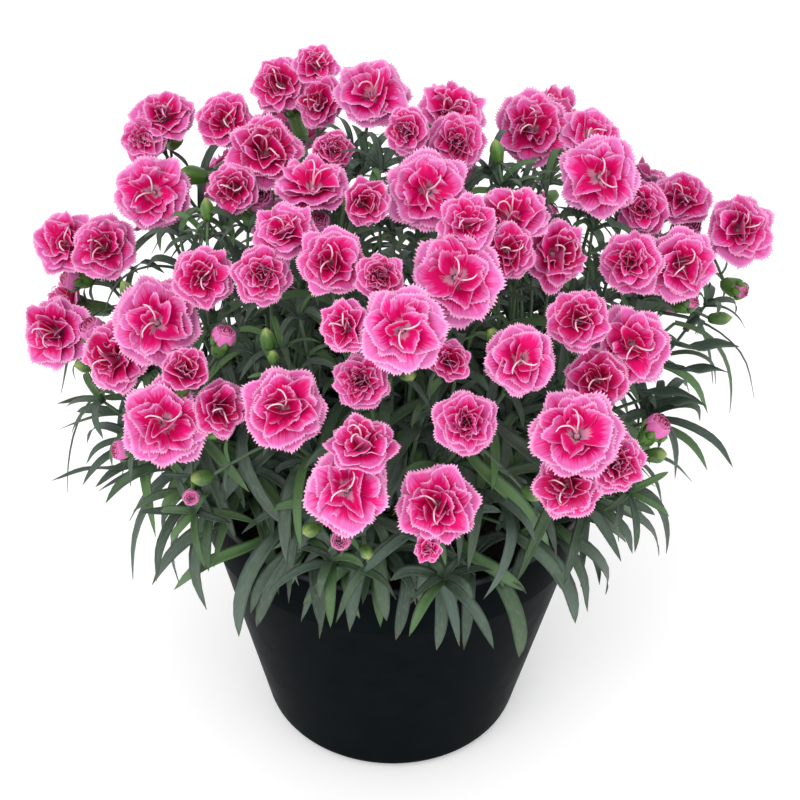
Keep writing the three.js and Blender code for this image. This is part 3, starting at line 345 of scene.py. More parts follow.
def plan_heads():
    draw = drawer(2014)
    heads = [seen(*head, cluster=k) for k, row in enumerate(FRONT_HEADS) for head in row]
    for k, (round_, above) in enumerate(BACK_PAIRS):
        first = on_mound(round_, above)
        normal = mound_normal(first)
        sideways = turned(square_to(normal, UP), normal, draw(0, FULL_TURN))
        for end in (-1, 1):
            radius = draw(*BACK_WIDTHS) / 2
            place = first + sideways * (end * BACK_APART * radius)
            slide = mound_normal(place)
            lean = slide + sideways * (end * draw(*BACK_LEANS.aside))
            axis = unit(lean + UP * draw(*BACK_LEANS.up))
            form = OPEN if draw(0, 1) < BACK_OPEN_SHARE else ROSE
            heads.append(Record(place=place, axis=axis, radius=radius, form=form, slide=slide,
                                pale=BACK_PALE, cluster=len(FRONT_HEADS) + k))
    for head in heads:
        head.turn = draw(0, FULL_TURN)
        head.calyx = min(CALYX.radius, CALYX.share * head.radius)
    settle_heads(heads)
    for head in heads:
        head.seat = head.place - head.axis * (HEAD.seat * head.radius)
        head.foot = head.seat - head.axis * CALYX.length
    return heads


heads = plan_heads()
clusters = [[head for head in heads if head.cluster == k] for k in range(heads[-1].cluster + 1)]
PLACES = np.array([head.place for head in heads])
AXES = np.array([head.axis for head in heads])
RADII = np.array([head.radius for head in heads])


def inside_heads(points, margin=1.5):
    """How deep a line of points runs inside flower heads, as a sum over its points."""
    offset = points[:, None, :] - PLACES[None]
    height = (offset * AXES[None]).sum(-1)
    sideways = np.sqrt(np.maximum(0, (offset ** 2).sum(-1) - height ** 2)) / (RADII + margin)
    depth = HEAD.depth * RADII + margin
    return float(np.maximum(0, 1 - sideways ** 2 - (height / depth) ** 2).sum())


def clear_of_heads(p, margin, others=None):
    """p moved out of every flower head, to the side that it is on."""
    for head in heads if others is None else others:
        offset = p - head.place
        height = offset @ head.axis
        sideways = length_of(offset - head.axis * height) / (head.radius + margin)
        depth = HEAD.depth * head.radius + margin
        if 1 - sideways ** 2 - (height / depth) ** 2 <= 0:
            continue
        wanted = depth * math.sqrt(1 - sideways ** 2) * (1 if height > 0.5 * depth else -1)
        p = p + head.axis * (wanted - height)
    return p


def clear_of_pot(p):
    """p lifted over the soil within the pot's circle, or near the wall over its rim."""
    reach = math.hypot(p[0], p[1])
    over_rim = POT.height + LEAF_CLEARANCE
    lowest = over_rim if reach > OVER_SOIL.reach else SOIL.top + OVER_SOIL.clearance
    if reach < POT.rim_radius + LEAF_CLEARANCE:
        p = np.array((p[0], p[1], max(p[2], lowest)))
    return p


def leaf_points(root, way, side, length, rise, droop):
    """The root and three more points of a leaf that arches over and hangs by droop of its length."""
    points = [root]
    for out, up, down in ARCH:
        p = root + side * (out * length) + way * (rise * up * length) - UP * (down * droop * length)
        for _ in range(2):
            p = clear_of_pot(clear_of_heads(p, LEAF_CLEARANCE))
        points.append(p)
    return points


def cutting_of(p):
    step = 360 / CUTTINGS.count
    round_ = math.degrees(math.atan2(p[1], p[0])) - CUTTINGS.first_angle + step / 2
    return int((round_ % 360) // step)


def cutting_axis(cutting):
    outward = around(math.radians(CUTTINGS.first_angle + cutting * 360 / CUTTINGS.count))
    return outward * CUTTINGS.circle, outward


def fan_start(cutting, end):
    foot, _ = cutting_axis(cutting)
    lean = at_height(end - foot, 0)
    share = min(CUTTINGS.fan_share * length_of(lean), CUTTINGS.fan_radius)
    return at_height(foot + unit(lean) * share, CUTTINGS.fan_start)


class Stem:
    """A flowering stem: a curve from its cutting to a fork below its heads."""

    def __init__(self, own):
        feet = [head.foot for head in own]
        middle = sum(feet) / len(feet)
        self.cutting = cutting_of(middle)
        base, _ = cutting_axis(self.cutting)
        rising = unit(middle - at_height(base, SOIL.top))
        way = unit(rising + unit(sum(head.axis for head in own)))
        lowest = min((foot - middle) @ way for foot in feet)
        fork = middle + way * (lowest - STEM.fork)
        self.heads = sorted(own, key=lambda head: -(head.foot @ way))
        start = fan_start(self.cutting, fork)
        span = length_of(fork - start)
        others = [head for head in heads if head.cluster != own[0].cluster]
        outward = unit(np.array((fork[0], fork[1], 0.001)))
        bow = [start + UP * (BOW.up * span) + outward * (BOW.out * span),
               fork - UP * (BOW.down * span) - self.heads[0].axis * (BOW.back * span)]
        bow = [clear_of_heads(p, LEAF_CLEARANCE, others) for p in bow]
        self.control = (start, *bow, fork)
        self.fork = fork
        self.stalks = 0

    def at(self, share):
        return bezier(*self.control, share)

    def way(self, t):
        a, b, c, d = self.control
        return unit(3 * (1 - t) ** 2 * (b - a) + 6 * (1 - t) * t * (c - b) + 3 * t * t * (d - c))

    def next_root(self):
        self.stalks += 1
        return self.at(STALK.highest - STALK.step * (self.stalks - 1))


def stem_pairs(stem, draw):
    """A stem's pairs of leaves: (share of the stem, turn, width, [end, length, rise, droop] of both)."""
    turn = draw(0, FULL_TURN)
    pairs = HIGH_PAIRS if stem.fork[2] > LOW_STEMS_BELOW else LOW_PAIRS
    found = []
    for k, (share, longest, widest, highest, lowest) in enumerate(pairs):
        at = share + draw(-0.04, 0.04)
        length = longest * draw(0.9, 1.1)
        width = widest * draw(0.85, 1.15)
        looks = [(end, length * draw(0.85, 1.1), highest * draw(0.7, 1.2), lowest * draw(0.6, 1.4))
                 for end in (1, -1)]
        found.append((at, turn + k * math.pi / 2, width, looks))
    return found


def plan_stems():
    draw = drawer(77)
    stems = []
    for own in clusters:
        stem = Stem(own)
        stem.pairs = stem_pairs(stem, draw)
        for head in stem.heads[1:]:
            head.root = stem.next_root()
        stems.append(stem)
    return stems


def plan_shoots():
    draw = drawer(555)
    shoots = []
    for tier in TUFTS:
        for k in range(tier.count):
            outward = around(math.radians(tier.first + (k + draw(-0.25, 0.25)) * 360 / tier.count))
            end = outward * (tier.reach + draw(-TUFT.spread, TUFT.spread))
            end = at_height(end, tier.height + draw(-TUFT.spread, TUFT.spread))
            end = clear_of_heads(end, 2 * LEAF_CLEARANCE)
            cutting = cutting_of(end)
            start = at_height(cutting_axis(cutting)[0], TUFT.start_height)
            start = start + (end - start) * TUFT.start_share
            turn = draw(0, math.pi)
            looks = []
            trim = 1 - TUFT.front_trim * max(0, -outward[1])
            for n in range(TUFT.leaves):
                length = tier.length * trim * (1 if n % 2 else 0.8) * draw(0.85, 1.15)
                rise = tier.rise * (1 if n % 2 else 1.6) * draw(0.7, 1.3)
                looks.append((length, rise, tier.droop * draw(0.6, 1.3)))
            shoots.append(Record(cutting=cutting, start=start, end=end, way=unit(UP + outward * 0.35),
                                 outward=outward, width=tier.width, turn=turn, looks=looks))
    return shoots


def plan_buds(stems):
    draw = drawer(31)
    buds = [seen(*row, kind=CLOSED) for row in GREEN_BUDS]
    buds += [seen(*row, kind=TIGHT if row[:2] in TIGHT_BUDS else OPENING) for row in PINK_BUDS]
    for k, (round_, above) in enumerate(BACK_BUDS):
        place = on_mound(round_, above, BACK_BUDS_SHARE)
        axis = mound_normal(place)
        buds.append(Record(place=place, axis=axis, radius=draw(*BACK_BUD_RADII), slide=axis,
                           kind=CLOSED if k % 2 else OPENING))
    for bud in buds:
        place = bud.place - bud.slide * BUD.sunk
        bud.place = place = clear_of_heads(place, bud.radius + BUD.clearance)
        foot = place - bud.axis * (BUD.length * bud.radius)
        kin = [stem for stem in stems if stem.cutting == cutting_of(place)]
        stem = min(kin, key=lambda s: length_of(s.fork - foot))
        bud.root = stem.next_root()
        bud.axis = unit(bud.axis + unit(foot - bud.root))
        bud.foot = place - bud.axis * (BUD.length * bud.radius)
        bud.cutting = stem.cutting
    return buds


stems = plan_stems()
shoots = plan_shoots()
buds = plan_buds(stems)


# ---------- Meshes ----------
def any_turn():
    return rng.uniform(0, FULL_TURN)


def swing(reach):
    return rng.uniform(-reach, reach)


def looks_of(*columns):
    """Three looks for each point, each from a row of values or from a single one."""
    return np.stack(np.broadcast_arrays(*columns), 1)


class Piece:
    """Closed shells gathered into one mesh, with looks for each point and a material for each shell."""

    def __init__(self):
        self.points, self.faces, self.form, self.kind, self.rim, self.slots = [], [], [], [], [], []
        self.count = 0

    def add(self, points, faces, form=(0, 0, 0), kind=(0, 0, 0), rim=False, slot=0):
        points = np.asarray(points, float)
        faces = np.asarray(faces, int)
        corners = points[faces] - points.mean(0)
        if np.einsum("ij,ij->i", corners[:, 0], np.cross(corners[:, 1], corners[:, 2])).sum() < 0:
            faces = faces[:, ::-1]
        n = len(points)
        self.points.append(points * MM)
        self.faces.append(faces + self.count)
        self.form.append(np.broadcast_to(form, (n, 3)))
        self.kind.append(np.broadcast_to(kind, (n, 3)))
        self.rim.append(np.broadcast_to(rim, n))
        self.slots.append(np.full(len(faces), slot))
        self.count += n

    def build(self, name, materials):
        points, faces = np.vstack(self.points), np.vstack(self.faces)
        mesh = bpy.data.meshes.new(name)
        mesh.vertices.add(len(points))
        mesh.vertices.foreach_set("co", points.astype(np.float32).ravel())
        mesh.loops.add(3 * len(faces))
        mesh.loops.foreach_set("vertex_index", faces.astype(np.int32).ravel())
        mesh.polygons.add(len(faces))
        mesh.polygons.foreach_set("loop_start", np.arange(0, 3 * len(faces), 3, dtype=np.int32))
        mesh.update(calc_edges=True)
        mesh.polygons.foreach_set("material_index", np.concatenate(self.slots).astype(np.int32))
        mesh.polygons.foreach_set("use_smooth", np.full(len(faces), True))
        for attribute, values in (("form", self.form), ("kind", self.kind)):
            made = mesh.attributes.new(attribute, "FLOAT_VECTOR", "POINT")
            made.data.foreach_set("vector", np.vstack(values).astype(np.float32).ravel())
        edges = np.empty(2 * len(mesh.edges), np.int32)
        mesh.edges.foreach_get("vertices", edges)
        sharp = mesh.attributes.new("sharp_edge", "BOOLEAN", "EDGE")
        sharp.data.foreach_set("value", np.concatenate(self.rim)[edges.reshape(-1, 2)].all(1))
        for material in materials:
            mesh.materials.append(material)
        return add_object(name, mesh)


def add_object(name, data):
    made = bpy.data.objects.new(name, data)
    bpy.context.scene.collection.objects.link(made)
    return made


def grid_faces(rings, sides, closed=True):
    """Triangles between rings of equal count, with both ends closed by fans where closed."""
    faces = []
    for k in range(rings - 1):
        for i in range(sides):
            a, b = k * sides + i, k * sides + (i + 1) % sides
            faces += [(a, b, b + sides), (a, b + sides, a + sides)]
    if closed:
        last = (rings - 1) * sides
        faces += [(0, i + 1, i) for i in range(1, sides - 1)]
        faces += [(last, last + i, last + i + 1) for i in range(1, sides - 1)]
    return faces


FACES = {}


def tube_faces(rings, sides):
    if (rings, sides) not in FACES:
        FACES[rings, sides] = np.array(grid_faces(rings, sides))
    return FACES[rings, sides]


def frames(line, side):
    """The ways along a line of points, and a side square to each that turns as little as it can."""
    ways = rows_unit(np.gradient(line, axis=0))
    sides = np.empty_like(line)
    for k, way in enumerate(ways):
        side = square_to(way, side)
        sides[k] = side
    return ways, sides


def tube(piece, line, radii, sides, form=(0, 0, 0), kind=(0, 0, 0), slot=0, bulge=1):
    """A round tube along a line. bulge is a factor on the radius of each ring, or of each point of it."""
    start = RIGHT if abs(unit(line[1] - line[0]) @ RIGHT) < 0.9 else UP
    ways, across = frames(line, start)
    over = np.cross(ways, across)
    turn = np.arange(sides) * FULL_TURN / sides
    radii = np.broadcast_to(np.asarray(radii, float)[:, None] * bulge, (len(line), sides))
    sideways, upwards = (radii * np.cos(turn))[..., None], (radii * np.sin(turn))[..., None]
    ring = across[:, None] * sideways + over[:, None] * upwards
    piece.add((line[:, None] + ring).reshape(-1, 3), tube_faces(len(line), sides), form, kind, slot=slot)


def stalk(piece, line, radii, tone, stemmy, chance, sides=7):
    """A green stalk that thins evenly along a line."""
    tube(piece, line, np.linspace(*radii, len(line)), sides, (0, 0.5, tone), (0, stemmy, chance))


# ---------- Leaves ----------
# A leaf's shape along its length: it widens from a folded root and tapers to its tip.
LEAF = Record(steps=12, easing=4, curl_from=0.6, root=0.7, widening=0.3, widest=0.3, taper_from=0.45,
              taper_power=2.6, tip=0.02, thickness=0.12, fold=1.5, flattening=0.9, flat_from=0.5)
# How the faces of a pair's leaves and of a whorl's leaves look outwards and upwards from their stem's way.
FACING = Record(outward=0.15, pair=0.4, whorl=0.3)
# Points round a leaf: how far across and how high each is, and whether it belongs to the under side.
BLADE_ACROSS = np.array((-1, -0.55, 0, 0.55, 1, 0.55, 0, -0.55))
BLADE_HEIGHT = np.array((0.16, 0.07, -0.03, 0.07, 0.16, -0.02, -0.15, -0.02))
BLADE_UNDER = np.array((0, 0, 0, 0, 0, 1, 1, 1))
BLADE_POINTS = len(BLADE_ACROSS)
LOWEST_TIP = 145
DEEPEST_IN_HEADS = 0.6


def leaf(piece, points, guess, width, tone, twist, curl):
    """A narrow keeled leaf along points, whose upper face looks towards guess where it can."""
    line = smooth_line(points, LEAF.steps)
    for _ in range(LEAF.easing):
        line[1:-1] = 0.25 * line[:-2] + 0.5 * line[1:-1] + 0.25 * line[2:]
    way_along = np.concatenate([[0], np.cumsum(np.linalg.norm(np.diff(line, axis=0), axis=1))])
    t = way_along / way_along[-1]
    ways = rows_unit(np.gradient(line, axis=0))
    over = rows_unit(guess - ways * (guess * ways).sum(-1, keepdims=True))
    side = rows_unit(np.cross(ways, over))
    line = line + over * (curl * width * smooth_step(LEAF.curl_from, 1, t) * t)[:, None]
    bend = (twist * t)[:, None]
    side, over = side * np.cos(bend) + over * np.sin(bend), over * np.cos(bend) - side * np.sin(bend)
    opening = LEAF.root + LEAF.widening * smooth_step(0, LEAF.widest, t)
    taper = 1 - (np.maximum(0, t - LEAF.taper_from) / (1 - LEAF.taper_from)) ** LEAF.taper_power
    half = 0.5 * width * opening * np.maximum(taper, LEAF.tip)
    thick = np.maximum(half, LEAF.thickness * width)
    fold = LEAF.fold - LEAF.flattening * smooth_step(0, LEAF.flat_from, t)
    height = BLADE_HEIGHT[None] * fold[:, None] * thick[:, None] * 2
    solid = (line[:, None] + side[:, None] * (BLADE_ACROSS[None] * half[:, None])[..., None]
             + over[:, None] * height[..., None]).reshape(-1, 3)
    form = looks_of(np.tile(BLADE_ACROSS, LEAF.steps), np.repeat(t, BLADE_POINTS), tone)
    kind = looks_of(np.tile(BLADE_UNDER, LEAF.steps), 0, rng.random())
    piece.add(solid, tube_faces(LEAF.steps, BLADE_POINTS), form, kind)


def leaf_look():
    """Tone, twist and curl of one leaf."""
    return rng.random(), swing(0.7), rng.uniform(-0.8, 0.5)


def depth_in_heads(points):
    return inside_heads(smooth_line(points, 9))


def clear_leaf(piece, points, guess, width):
    """A leaf with a look of its own, left out where it would run through flower heads."""
    if depth_in_heads(points) <= DEEPEST_IN_HEADS:
        leaf(piece, points, guess, width, *leaf_look())


def best_turn(make, turns=(0, 0.25, -0.25, 0.5, -0.5, 0.9, -0.9)):
    """What make gives for the first turning that runs least through flower heads or down the pot."""
    tried = []
    for turn in turns:
        leaves = make(turn)
        depth = sum(depth_in_heads(points) for points, _ in leaves)
        depth += sum(max(0, LOWEST_TIP - points[-1][2]) / LOWEST_TIP for points, _ in leaves)
        tried.append((depth, len(tried), leaves))
        if depth == 0:
            break
    return min(tried)[2]


def first_side(axis, steepest=0.9):
    """A way square to axis from which turns round it are counted."""
    return square_to(axis, RIGHT if abs(axis[2]) > steepest else UP)


def pair_leaves(piece, root, way, turn, width, looks):
    """An opposite pair of leaves on a stem."""
    def make(extra):
        side = turned(first_side(way), way, turn + extra)
        return [(leaf_points(root, way, side * end, length, rise, droop), side * end)
                for end, length, rise, droop in looks]
    for points, side in best_turn(make):
        clear_leaf(piece, points, way + side * FACING.outward + UP * FACING.pair, width)


def tuft(piece, end, way, turn, width, looks, outward):
    """A whorl of leaves at the end of a shoot, longer on its outer side."""
    start_side = turned(square_to(way, RIGHT), way, turn)
    for k, (length, rise, droop) in enumerate(looks):
        side = turned(start_side, way, FULL_TURN * (k + 0.5) / len(looks))
        inward = (1 - TUFT.inward_share) * max(0, -(side @ outward))

        def make(extra):
            out = turned(side, way, extra)
            return [(leaf_points(end, way, out, length * (1 - inward), rise * (1 + inward), droop), out)]
        points, out = best_turn(make, (0, 0.2, -0.2, 0.4, -0.4))[0]
        clear_leaf(piece, points, way + out * FACING.outward + UP * FACING.whorl, width)


# ---------- Calyxes and buds ----------
# Places in a piece's list of materials: FRESH in the greenery's, PETALS and STYLES in the flowers'.
FRESH = 1
PETALS, STYLES = 0, 1
TUBE_SIDES = 15
RIBS = np.cos(5 * np.arange(TUBE_SIDES) * FULL_TURN / TUBE_SIDES)
CALYX_HEIGHTS = np.array((0, 0.08, 0.2, 0.45, 0.75, 0.98))
CALYX_WIDTHS = np.array((0.42, 0.72, 0.86, 0.93, 0.98, 1.0))
CALYX_BULGE = 1 + 0.035 * RIBS
# The green of each kind of bud, in shares of its radius: heights and widths of its rings, then the height,
# length, width and lean inwards of the five teeth round its mouth.
BUD_GREENS = {
    CLOSED: ((-1.9, -1.7, -1.2, -0.6, -0.1, 0.35, 0.7, 1.0, 1.25, 1.42),
             (0.28, 0.52, 0.74, 0.87, 0.91, 0.83, 0.65, 0.42, 0.2, 0.03), None),
    OPENING: ((-1.9, -1.75, -1.4, -0.9, -0.5, -0.25, -0.27),
              (0.3, 0.55, 0.68, 0.76, 0.87, 0.96, 0.86), (-0.75, 1.05, 0.85, 0)),
    TIGHT: ((-1.9, -1.7, -1.2, -0.6, -0.1, 0.3, 0.28),
            (0.28, 0.52, 0.72, 0.84, 0.87, 0.8, 0.7), (0.05, 1.15, 0.95, 0.62)),
}
# Points of a bud stalk's two small leaves: (out from the stalk, along it).
STALK_LEAF = [(5, 3), (10, 4), (15, 2)]


def scale_leaf(piece, root, axis, out, length, width, tone):
    """A small pointed scale that hugs a calyx."""
    tip = root + axis * length + out * (0.28 * length)
    points = [root, root + axis * (0.35 * length) + out * (0.26 * length),
              root + axis * (0.7 * length) + out * (0.3 * length), tip]
    line = smooth_line(points, 6)
    t = np.linspace(0, 1, 6)
    half = 0.5 * width * np.maximum(np.sin(np.clip(t * 0.9 + 0.12, 0, 1) * math.pi) ** 0.8, 0.03)
    side = cross(axis, out)
    ring = np.array(((-1, -0.1), (0, 0.12), (1, -0.1), (0, -0.12)))
    points = (line[:, None] + side * (ring[None, :, :1] * half[:, None, None])
              + out * (ring[None, :, 1:] * width)).reshape(-1, 3)
    piece.add(points, tube_faces(6, 4), (0, 0.5, tone), (0, 0, tone), slot=FRESH)


def scales(piece, axis, count, turn, base, reach, length, width, tone, lean=0):
    """A ring of scales that stand out from base by reach and lean inwards."""
    for k in range(count):
        out = turned(first_side(axis), axis, FULL_TURN * (k + turn) / count)
        way = unit(axis - out * lean) if lean else axis
        scale_leaf(piece, base + out * reach, way, out, length, width, tone)


def calyx(piece, foot, seat, axis, radius, tone):
    """A ribbed green tube under a head, with scales at its base and pointed teeth round its mouth."""
    line = foot + (seat - foot) * CALYX_HEIGHTS[:, None]
    tube(piece, line, radius * CALYX_WIDTHS, TUBE_SIDES, (0, 0.5, tone), (0, 0, tone), FRESH, CALYX_BULGE)
    scales(piece, axis, 5, 0.3, seat - axis * 1.5, radius * 0.86, 5.5, radius * 1.15, tone)
    scales(piece, axis, 4, 0.1, foot, radius * 0.42, 6.5, radius, tone * 0.7)


def bud_green(piece, bud):
    """An unopened bud, or the calyx under one that shows its petals."""
    axis, radius, place, foot = bud.axis, bud.radius, bud.place, bud.foot
    tone = rng.uniform(0.3, 1)
    heights, widths, teeth = BUD_GREENS[bud.kind]
    heights = np.array(heights)
    line = place + axis * (heights * radius)[:, None]
    upward = (heights - heights[0]) / (heights[-1] - heights[0])
    form = looks_of(np.tile(RIBS, len(line)), np.repeat(upward, TUBE_SIDES), tone)
    bulge = 1 + (0.03 + 0.17 * upward ** 3)[:, None] * RIBS
    kind = (0, 0 if teeth else 1, tone)
    tube(piece, line, np.array(widths) * radius, TUBE_SIDES, form, kind, FRESH, bulge)
    if teeth:
        height, length, width, lean = teeth
        mouth = place + axis * (height * radius)
        scales(piece, axis, 5, 0, mouth, 0.8 * radius, length * radius, width * radius, tone, lean)
    scales(piece, axis, 4, 0.5, foot, 0.28 * radius, 1.25 * radius, 0.9 * radius, tone * 0.6)
    line = smooth_line([bud.root, bud.root * 0.45 + foot * 0.55 + UP * 2, foot + axis * 1.5], 8)
    stalk(piece, line, (STALK.radius, STALK.radius), tone, 0.4, tone)
    side = turned(first_side(axis), axis, rng.uniform(0, 3))
    root = line[5]
    for out in (side, -side):
        points = [root] + [root + out * aside + axis * along for aside, along in STALK_LEAF]
        leaf(piece, points, axis + UP * 0.3, 2.6, rng.random(), swing(0.5), 0)


# ---------- Petals ----------
def open_strip(first, a, second, b):
    """Triangles between two open rows of points."""
    faces, i, j = [], 0, 0
    while i < a - 1 or j < b - 1:
        if j >= b - 1 or (i < a - 1 and (i + 0.5) / (a - 1) <= (j + 0.5) / (b - 1)):
            faces.append((first + i, second + j, first + i + 1))
            i += 1
        else:
            faces.append((first + i, second + j, second + j + 1))
            j += 1
    return faces


class PetalForm:
    """The points and triangles that petals of one fineness share: a closed fan with a toothed margin."""

    def __init__(self, rows, teeth):
        rows = rows + [(VALLEY, teeth + 1)]
        u, v, seam, faces = [], [], [], []
        first = 0
        for k, (share, count) in enumerate(rows):
            u += list(np.linspace(-1, 1, count))
            v += [share] * count
            seam += [k == 0 or i in (0, count - 1) for i in range(count)]
            if k < len(rows) - 1:
                faces += open_strip(first, count, first + count, rows[k + 1][1])
                first += count
        self.valleys = np.arange(first, first + teeth + 1)
        self.tips = self.valleys[:-1] + teeth + 1
        faces += list(zip(self.valleys[:-1], self.tips, self.valleys[1:]))
        u += list((np.array(u)[self.valleys[:-1]] + np.array(u)[self.valleys[1:]]) / 2)
        v += [1.0] * teeth
        seam = np.array(seam + [True] * teeth)
        self.inner = np.flatnonzero(~seam)
        under = np.arange(len(u))
        under[self.inner] = len(u) + np.arange(len(self.inner))
        top = np.array(faces)
        walls = []
        for valley, before, after in zip(self.valleys[1:-1], self.tips[:-1], self.tips[1:]):
            walls += [(valley, before, under[valley]), (valley, under[valley], after)]
        self.u, self.v = np.array(u), np.array(v)
        self.faces = np.vstack([top, under[top][:, ::-1], walls])
        seam[self.valleys] = True
        self.rim = np.concatenate([seam, seam[self.inner]])
        self.under = np.concatenate([np.zeros(len(u)), np.ones(len(self.inner))])

    def close(self, piece, top, under_way, half, margin, pale, blotch):
        """Adds a petal from its upper face, with a lower one on the side of under_way."""
        below = top[self.inner] + under_way[self.inner] * PETAL_THICKNESS
        form = looks_of(self.u * half + rng.uniform(0, VEINS_APART), self.v * margin, self.u)
        form = np.vstack([form, form[self.inner]])
        kind = looks_of(self.under, pale, blotch)
        piece.add(np.vstack([top, below]), self.faces, form, kind, self.rim, PETALS)


VALLEY = 0.957
VEINS_APART = 40
PETAL_THICKNESS = 0.3
BROAD = PetalForm([(0, 3), (0.2, 4), (0.42, 6), (0.62, 9), (0.82, 12)], 16)
SMALL = PetalForm([(0, 3), (0.3, 4), (0.55, 6), (0.8, 9)], 12)

# Rings of petals from the outside in, in shares of the head's radius:
# (petals, form, reach, half width, height of the throat, height of the margin, cup, ruffle, claw radius).
PETAL_RINGS = {
    OPEN: [
        (6, BROAD, 0.98, 0.52, -0.24, -0.20, -0.03, 0.04, 0.09),
        (5, BROAD, 0.88, 0.50, -0.18, -0.06, 0.06, 0.07, 0.08),
        (5, BROAD, 0.72, 0.42, -0.15, 0.08, 0.16, 0.10, 0.07),
        (4, BROAD, 0.50, 0.32, -0.14, 0.15, 0.28, 0.12, 0.06),
        (2, SMALL, 0.32, 0.22, -0.10, 0.22, 0.35, 0.10, 0.05),
    ],
    WIDE: [
        (6, BROAD, 0.98, 0.54, -0.24, -0.20, -0.03, 0.04, 0.09),
        (5, BROAD, 0.90, 0.54, -0.17, -0.07, 0.04, 0.07, 0.08),
        (5, BROAD, 0.78, 0.44, -0.17, 0.02, 0.14, 0.09, 0.09),
        (4, BROAD, 0.60, 0.34, -0.17, 0.07, 0.20, 0.11, 0.08),
        (1, SMALL, 0.34, 0.2, -0.10, 0.20, 0.30, 0.08, 0.05),
    ],
    ROSE: [
        (6, BROAD, 0.97, 0.52, -0.20, -0.14, -0.04, 0.04, 0.10),
        (5, BROAD, 0.86, 0.50, -0.10, 0.02, 0.06, 0.07, 0.09),
        (6, BROAD, 0.70, 0.40, -0.04, 0.17, 0.16, 0.10, 0.08),
        (6, SMALL, 0.52, 0.30, 0.02, 0.26, 0.24, 0.13, 0.07),
        (5, SMALL, 0.34, 0.22, 0.06, 0.32, 0.28, 0.14, 0.05),
        (4, SMALL, 0.18, 0.16, 0.10, 0.34, 0.25, 0.12, 0.03),
    ],
    CUP: [
        (6, BROAD, 0.90, 0.50, -0.16, 0.10, 0.08, 0.06, 0.10),
        (5, BROAD, 0.74, 0.44, -0.06, 0.22, 0.16, 0.09, 0.08),
        (5, BROAD, 0.50, 0.34, 0.00, 0.30, 0.26, 0.11, 0.06),
        (3, SMALL, 0.28, 0.22, 0.04, 0.36, 0.30, 0.12, 0.04),
    ],
}

# Open heads that are at least as pale as WIDE_FROM open wide. Outer petals are paler than inner ones by
# OUTER_PALER. A share of the inner ones stand up, by part of the head's radius.
WIDE_FROM = 0.55
OUTER_PALER = 0.3
STANDING_SHARE = 0.22
STANDING = (0.1, 0.26)
# The pale middle of an open head, and the path of a style: (along the head's axis, out from it, aside).
HEART_HEIGHTS = np.array((-0.42, -0.3, -0.22, -0.16))
HEART_RADII = np.array((0.065, 0.055, 0.035, 0.012))
STYLE_PATH = [(-0.2, 0, 0), (0.12, 0.05, 0), (0.32, 0.16, 0), (0.36, 0.32, 0.08), (0.27, 0.38, 0.18)]
STYLE_LOOKS = dict(form=(0, 0.5, 0.5), kind=(0, 0, 0.5), slot=STYLES)
# Layers of furled petals in an opening bud, from the outside in:
# (petals, share of its radius, height of the margin, paleness, end of the deep colour).
FURLED_MARGIN = 0.95
FURLED = [(5, 1.0, 0.86, 0.9, 0.3), (5, 0.80, 0.96, 0.15, 0.85), (4, 0.56, 1.02, 0.15, 0.85),
          (3, 0.30, 1.06, 0.15, 0.85), (2, 0.10, 1.08, 0.15, 0.85)]
TIGHT_RAISED = 0.4
TIGHT_WIDTH = 0.68


def petal(piece, shape, head, turn, reach, half, throat, margin, cup, ruffle, claw, pale, fold, blotch):
    """One fan-shaped petal: a claw that rises out of the calyx and a ruffled blade with a toothed margin.

    Its deep colour ends at blotch of its length.
    """
    place, axis, radius = head.place, head.axis, head.radius
    out = turned(head.side, axis, turn)
    lateral = cross(axis, out)
    u, v = shape.u, shape.v.copy()
    v[shape.tips] += np.array([rng.uniform(-0.028, 0.018) for _ in shape.tips])
    v[shape.valleys] += np.array([rng.uniform(-0.016, 0.01) for _ in shape.valleys])
    wave = any_turn()
    t = v * (1 - 0.27 * np.abs(u) ** 2.3 + 0.8 * ruffle * np.sin(3.8 * u + wave))
    path = (np.array((claw, -0.42)), np.array((claw + 0.1, throat - 0.02)),
            np.array((0.45 * reach + 0.05, throat + 0.5 * max(0, margin - throat) + 0.06)),
            np.array((reach, margin)))
    profile = bezier(*path, t)
    slope = rows_unit(bezier(*path, t + 0.02) - bezier(*path, t - 0.02))
    normal = out * -slope[:, 1:] + axis * slope[:, :1]
    spread = 0.12 + 0.88 * np.sin(0.5 * math.pi * np.clip((t - 0.1) / 0.76, 0, 1) ** 1.3)
    phase, waves, fine = any_turn(), rng.uniform(3.0, 6.0), any_turn()
    lift = cup * u ** 2 * spread + fold * u * spread
    lift += ruffle * np.sin(waves * u + phase) * t ** 1.6
    lift += 0.3 * ruffle * np.sin(10 * u + fine) * smooth_step(0.6, 1, t)
    width = half * spread * (1 - 0.2 * np.minimum(1, abs(fold) + max(0, cup)) * np.abs(u))
    across = lateral * (width * u)[:, None]
    flat = place + radius * (out * profile[:, :1] + axis * profile[:, 1:] + across)
    shape.close(piece, flat + normal * (radius * lift)[:, None], -normal, half, 1, pale, blotch)


def heart(piece, head):
    """The pale middle of an open head, with its two curled styles."""
    place, axis, radius = head.place, head.axis, head.radius
    middle = place + axis * (radius * HEART_HEIGHTS)[:, None]
    tube(piece, middle, radius * HEART_RADII, 8, **STYLE_LOOKS)
    turn = any_turn()
    for k in range(2):
        out = turned(head.side, axis, turn + k * rng.uniform(1.2, 2.6))
        side = cross(axis, out)
        points = [place + axis * (along * radius) + out * (away * radius) + side * (aside * radius)
                  for along, away, aside in STYLE_PATH]
        tube(piece, smooth_line(points, 12), np.linspace(0.5, 0.36, 12), 6, **STYLE_LOOKS)


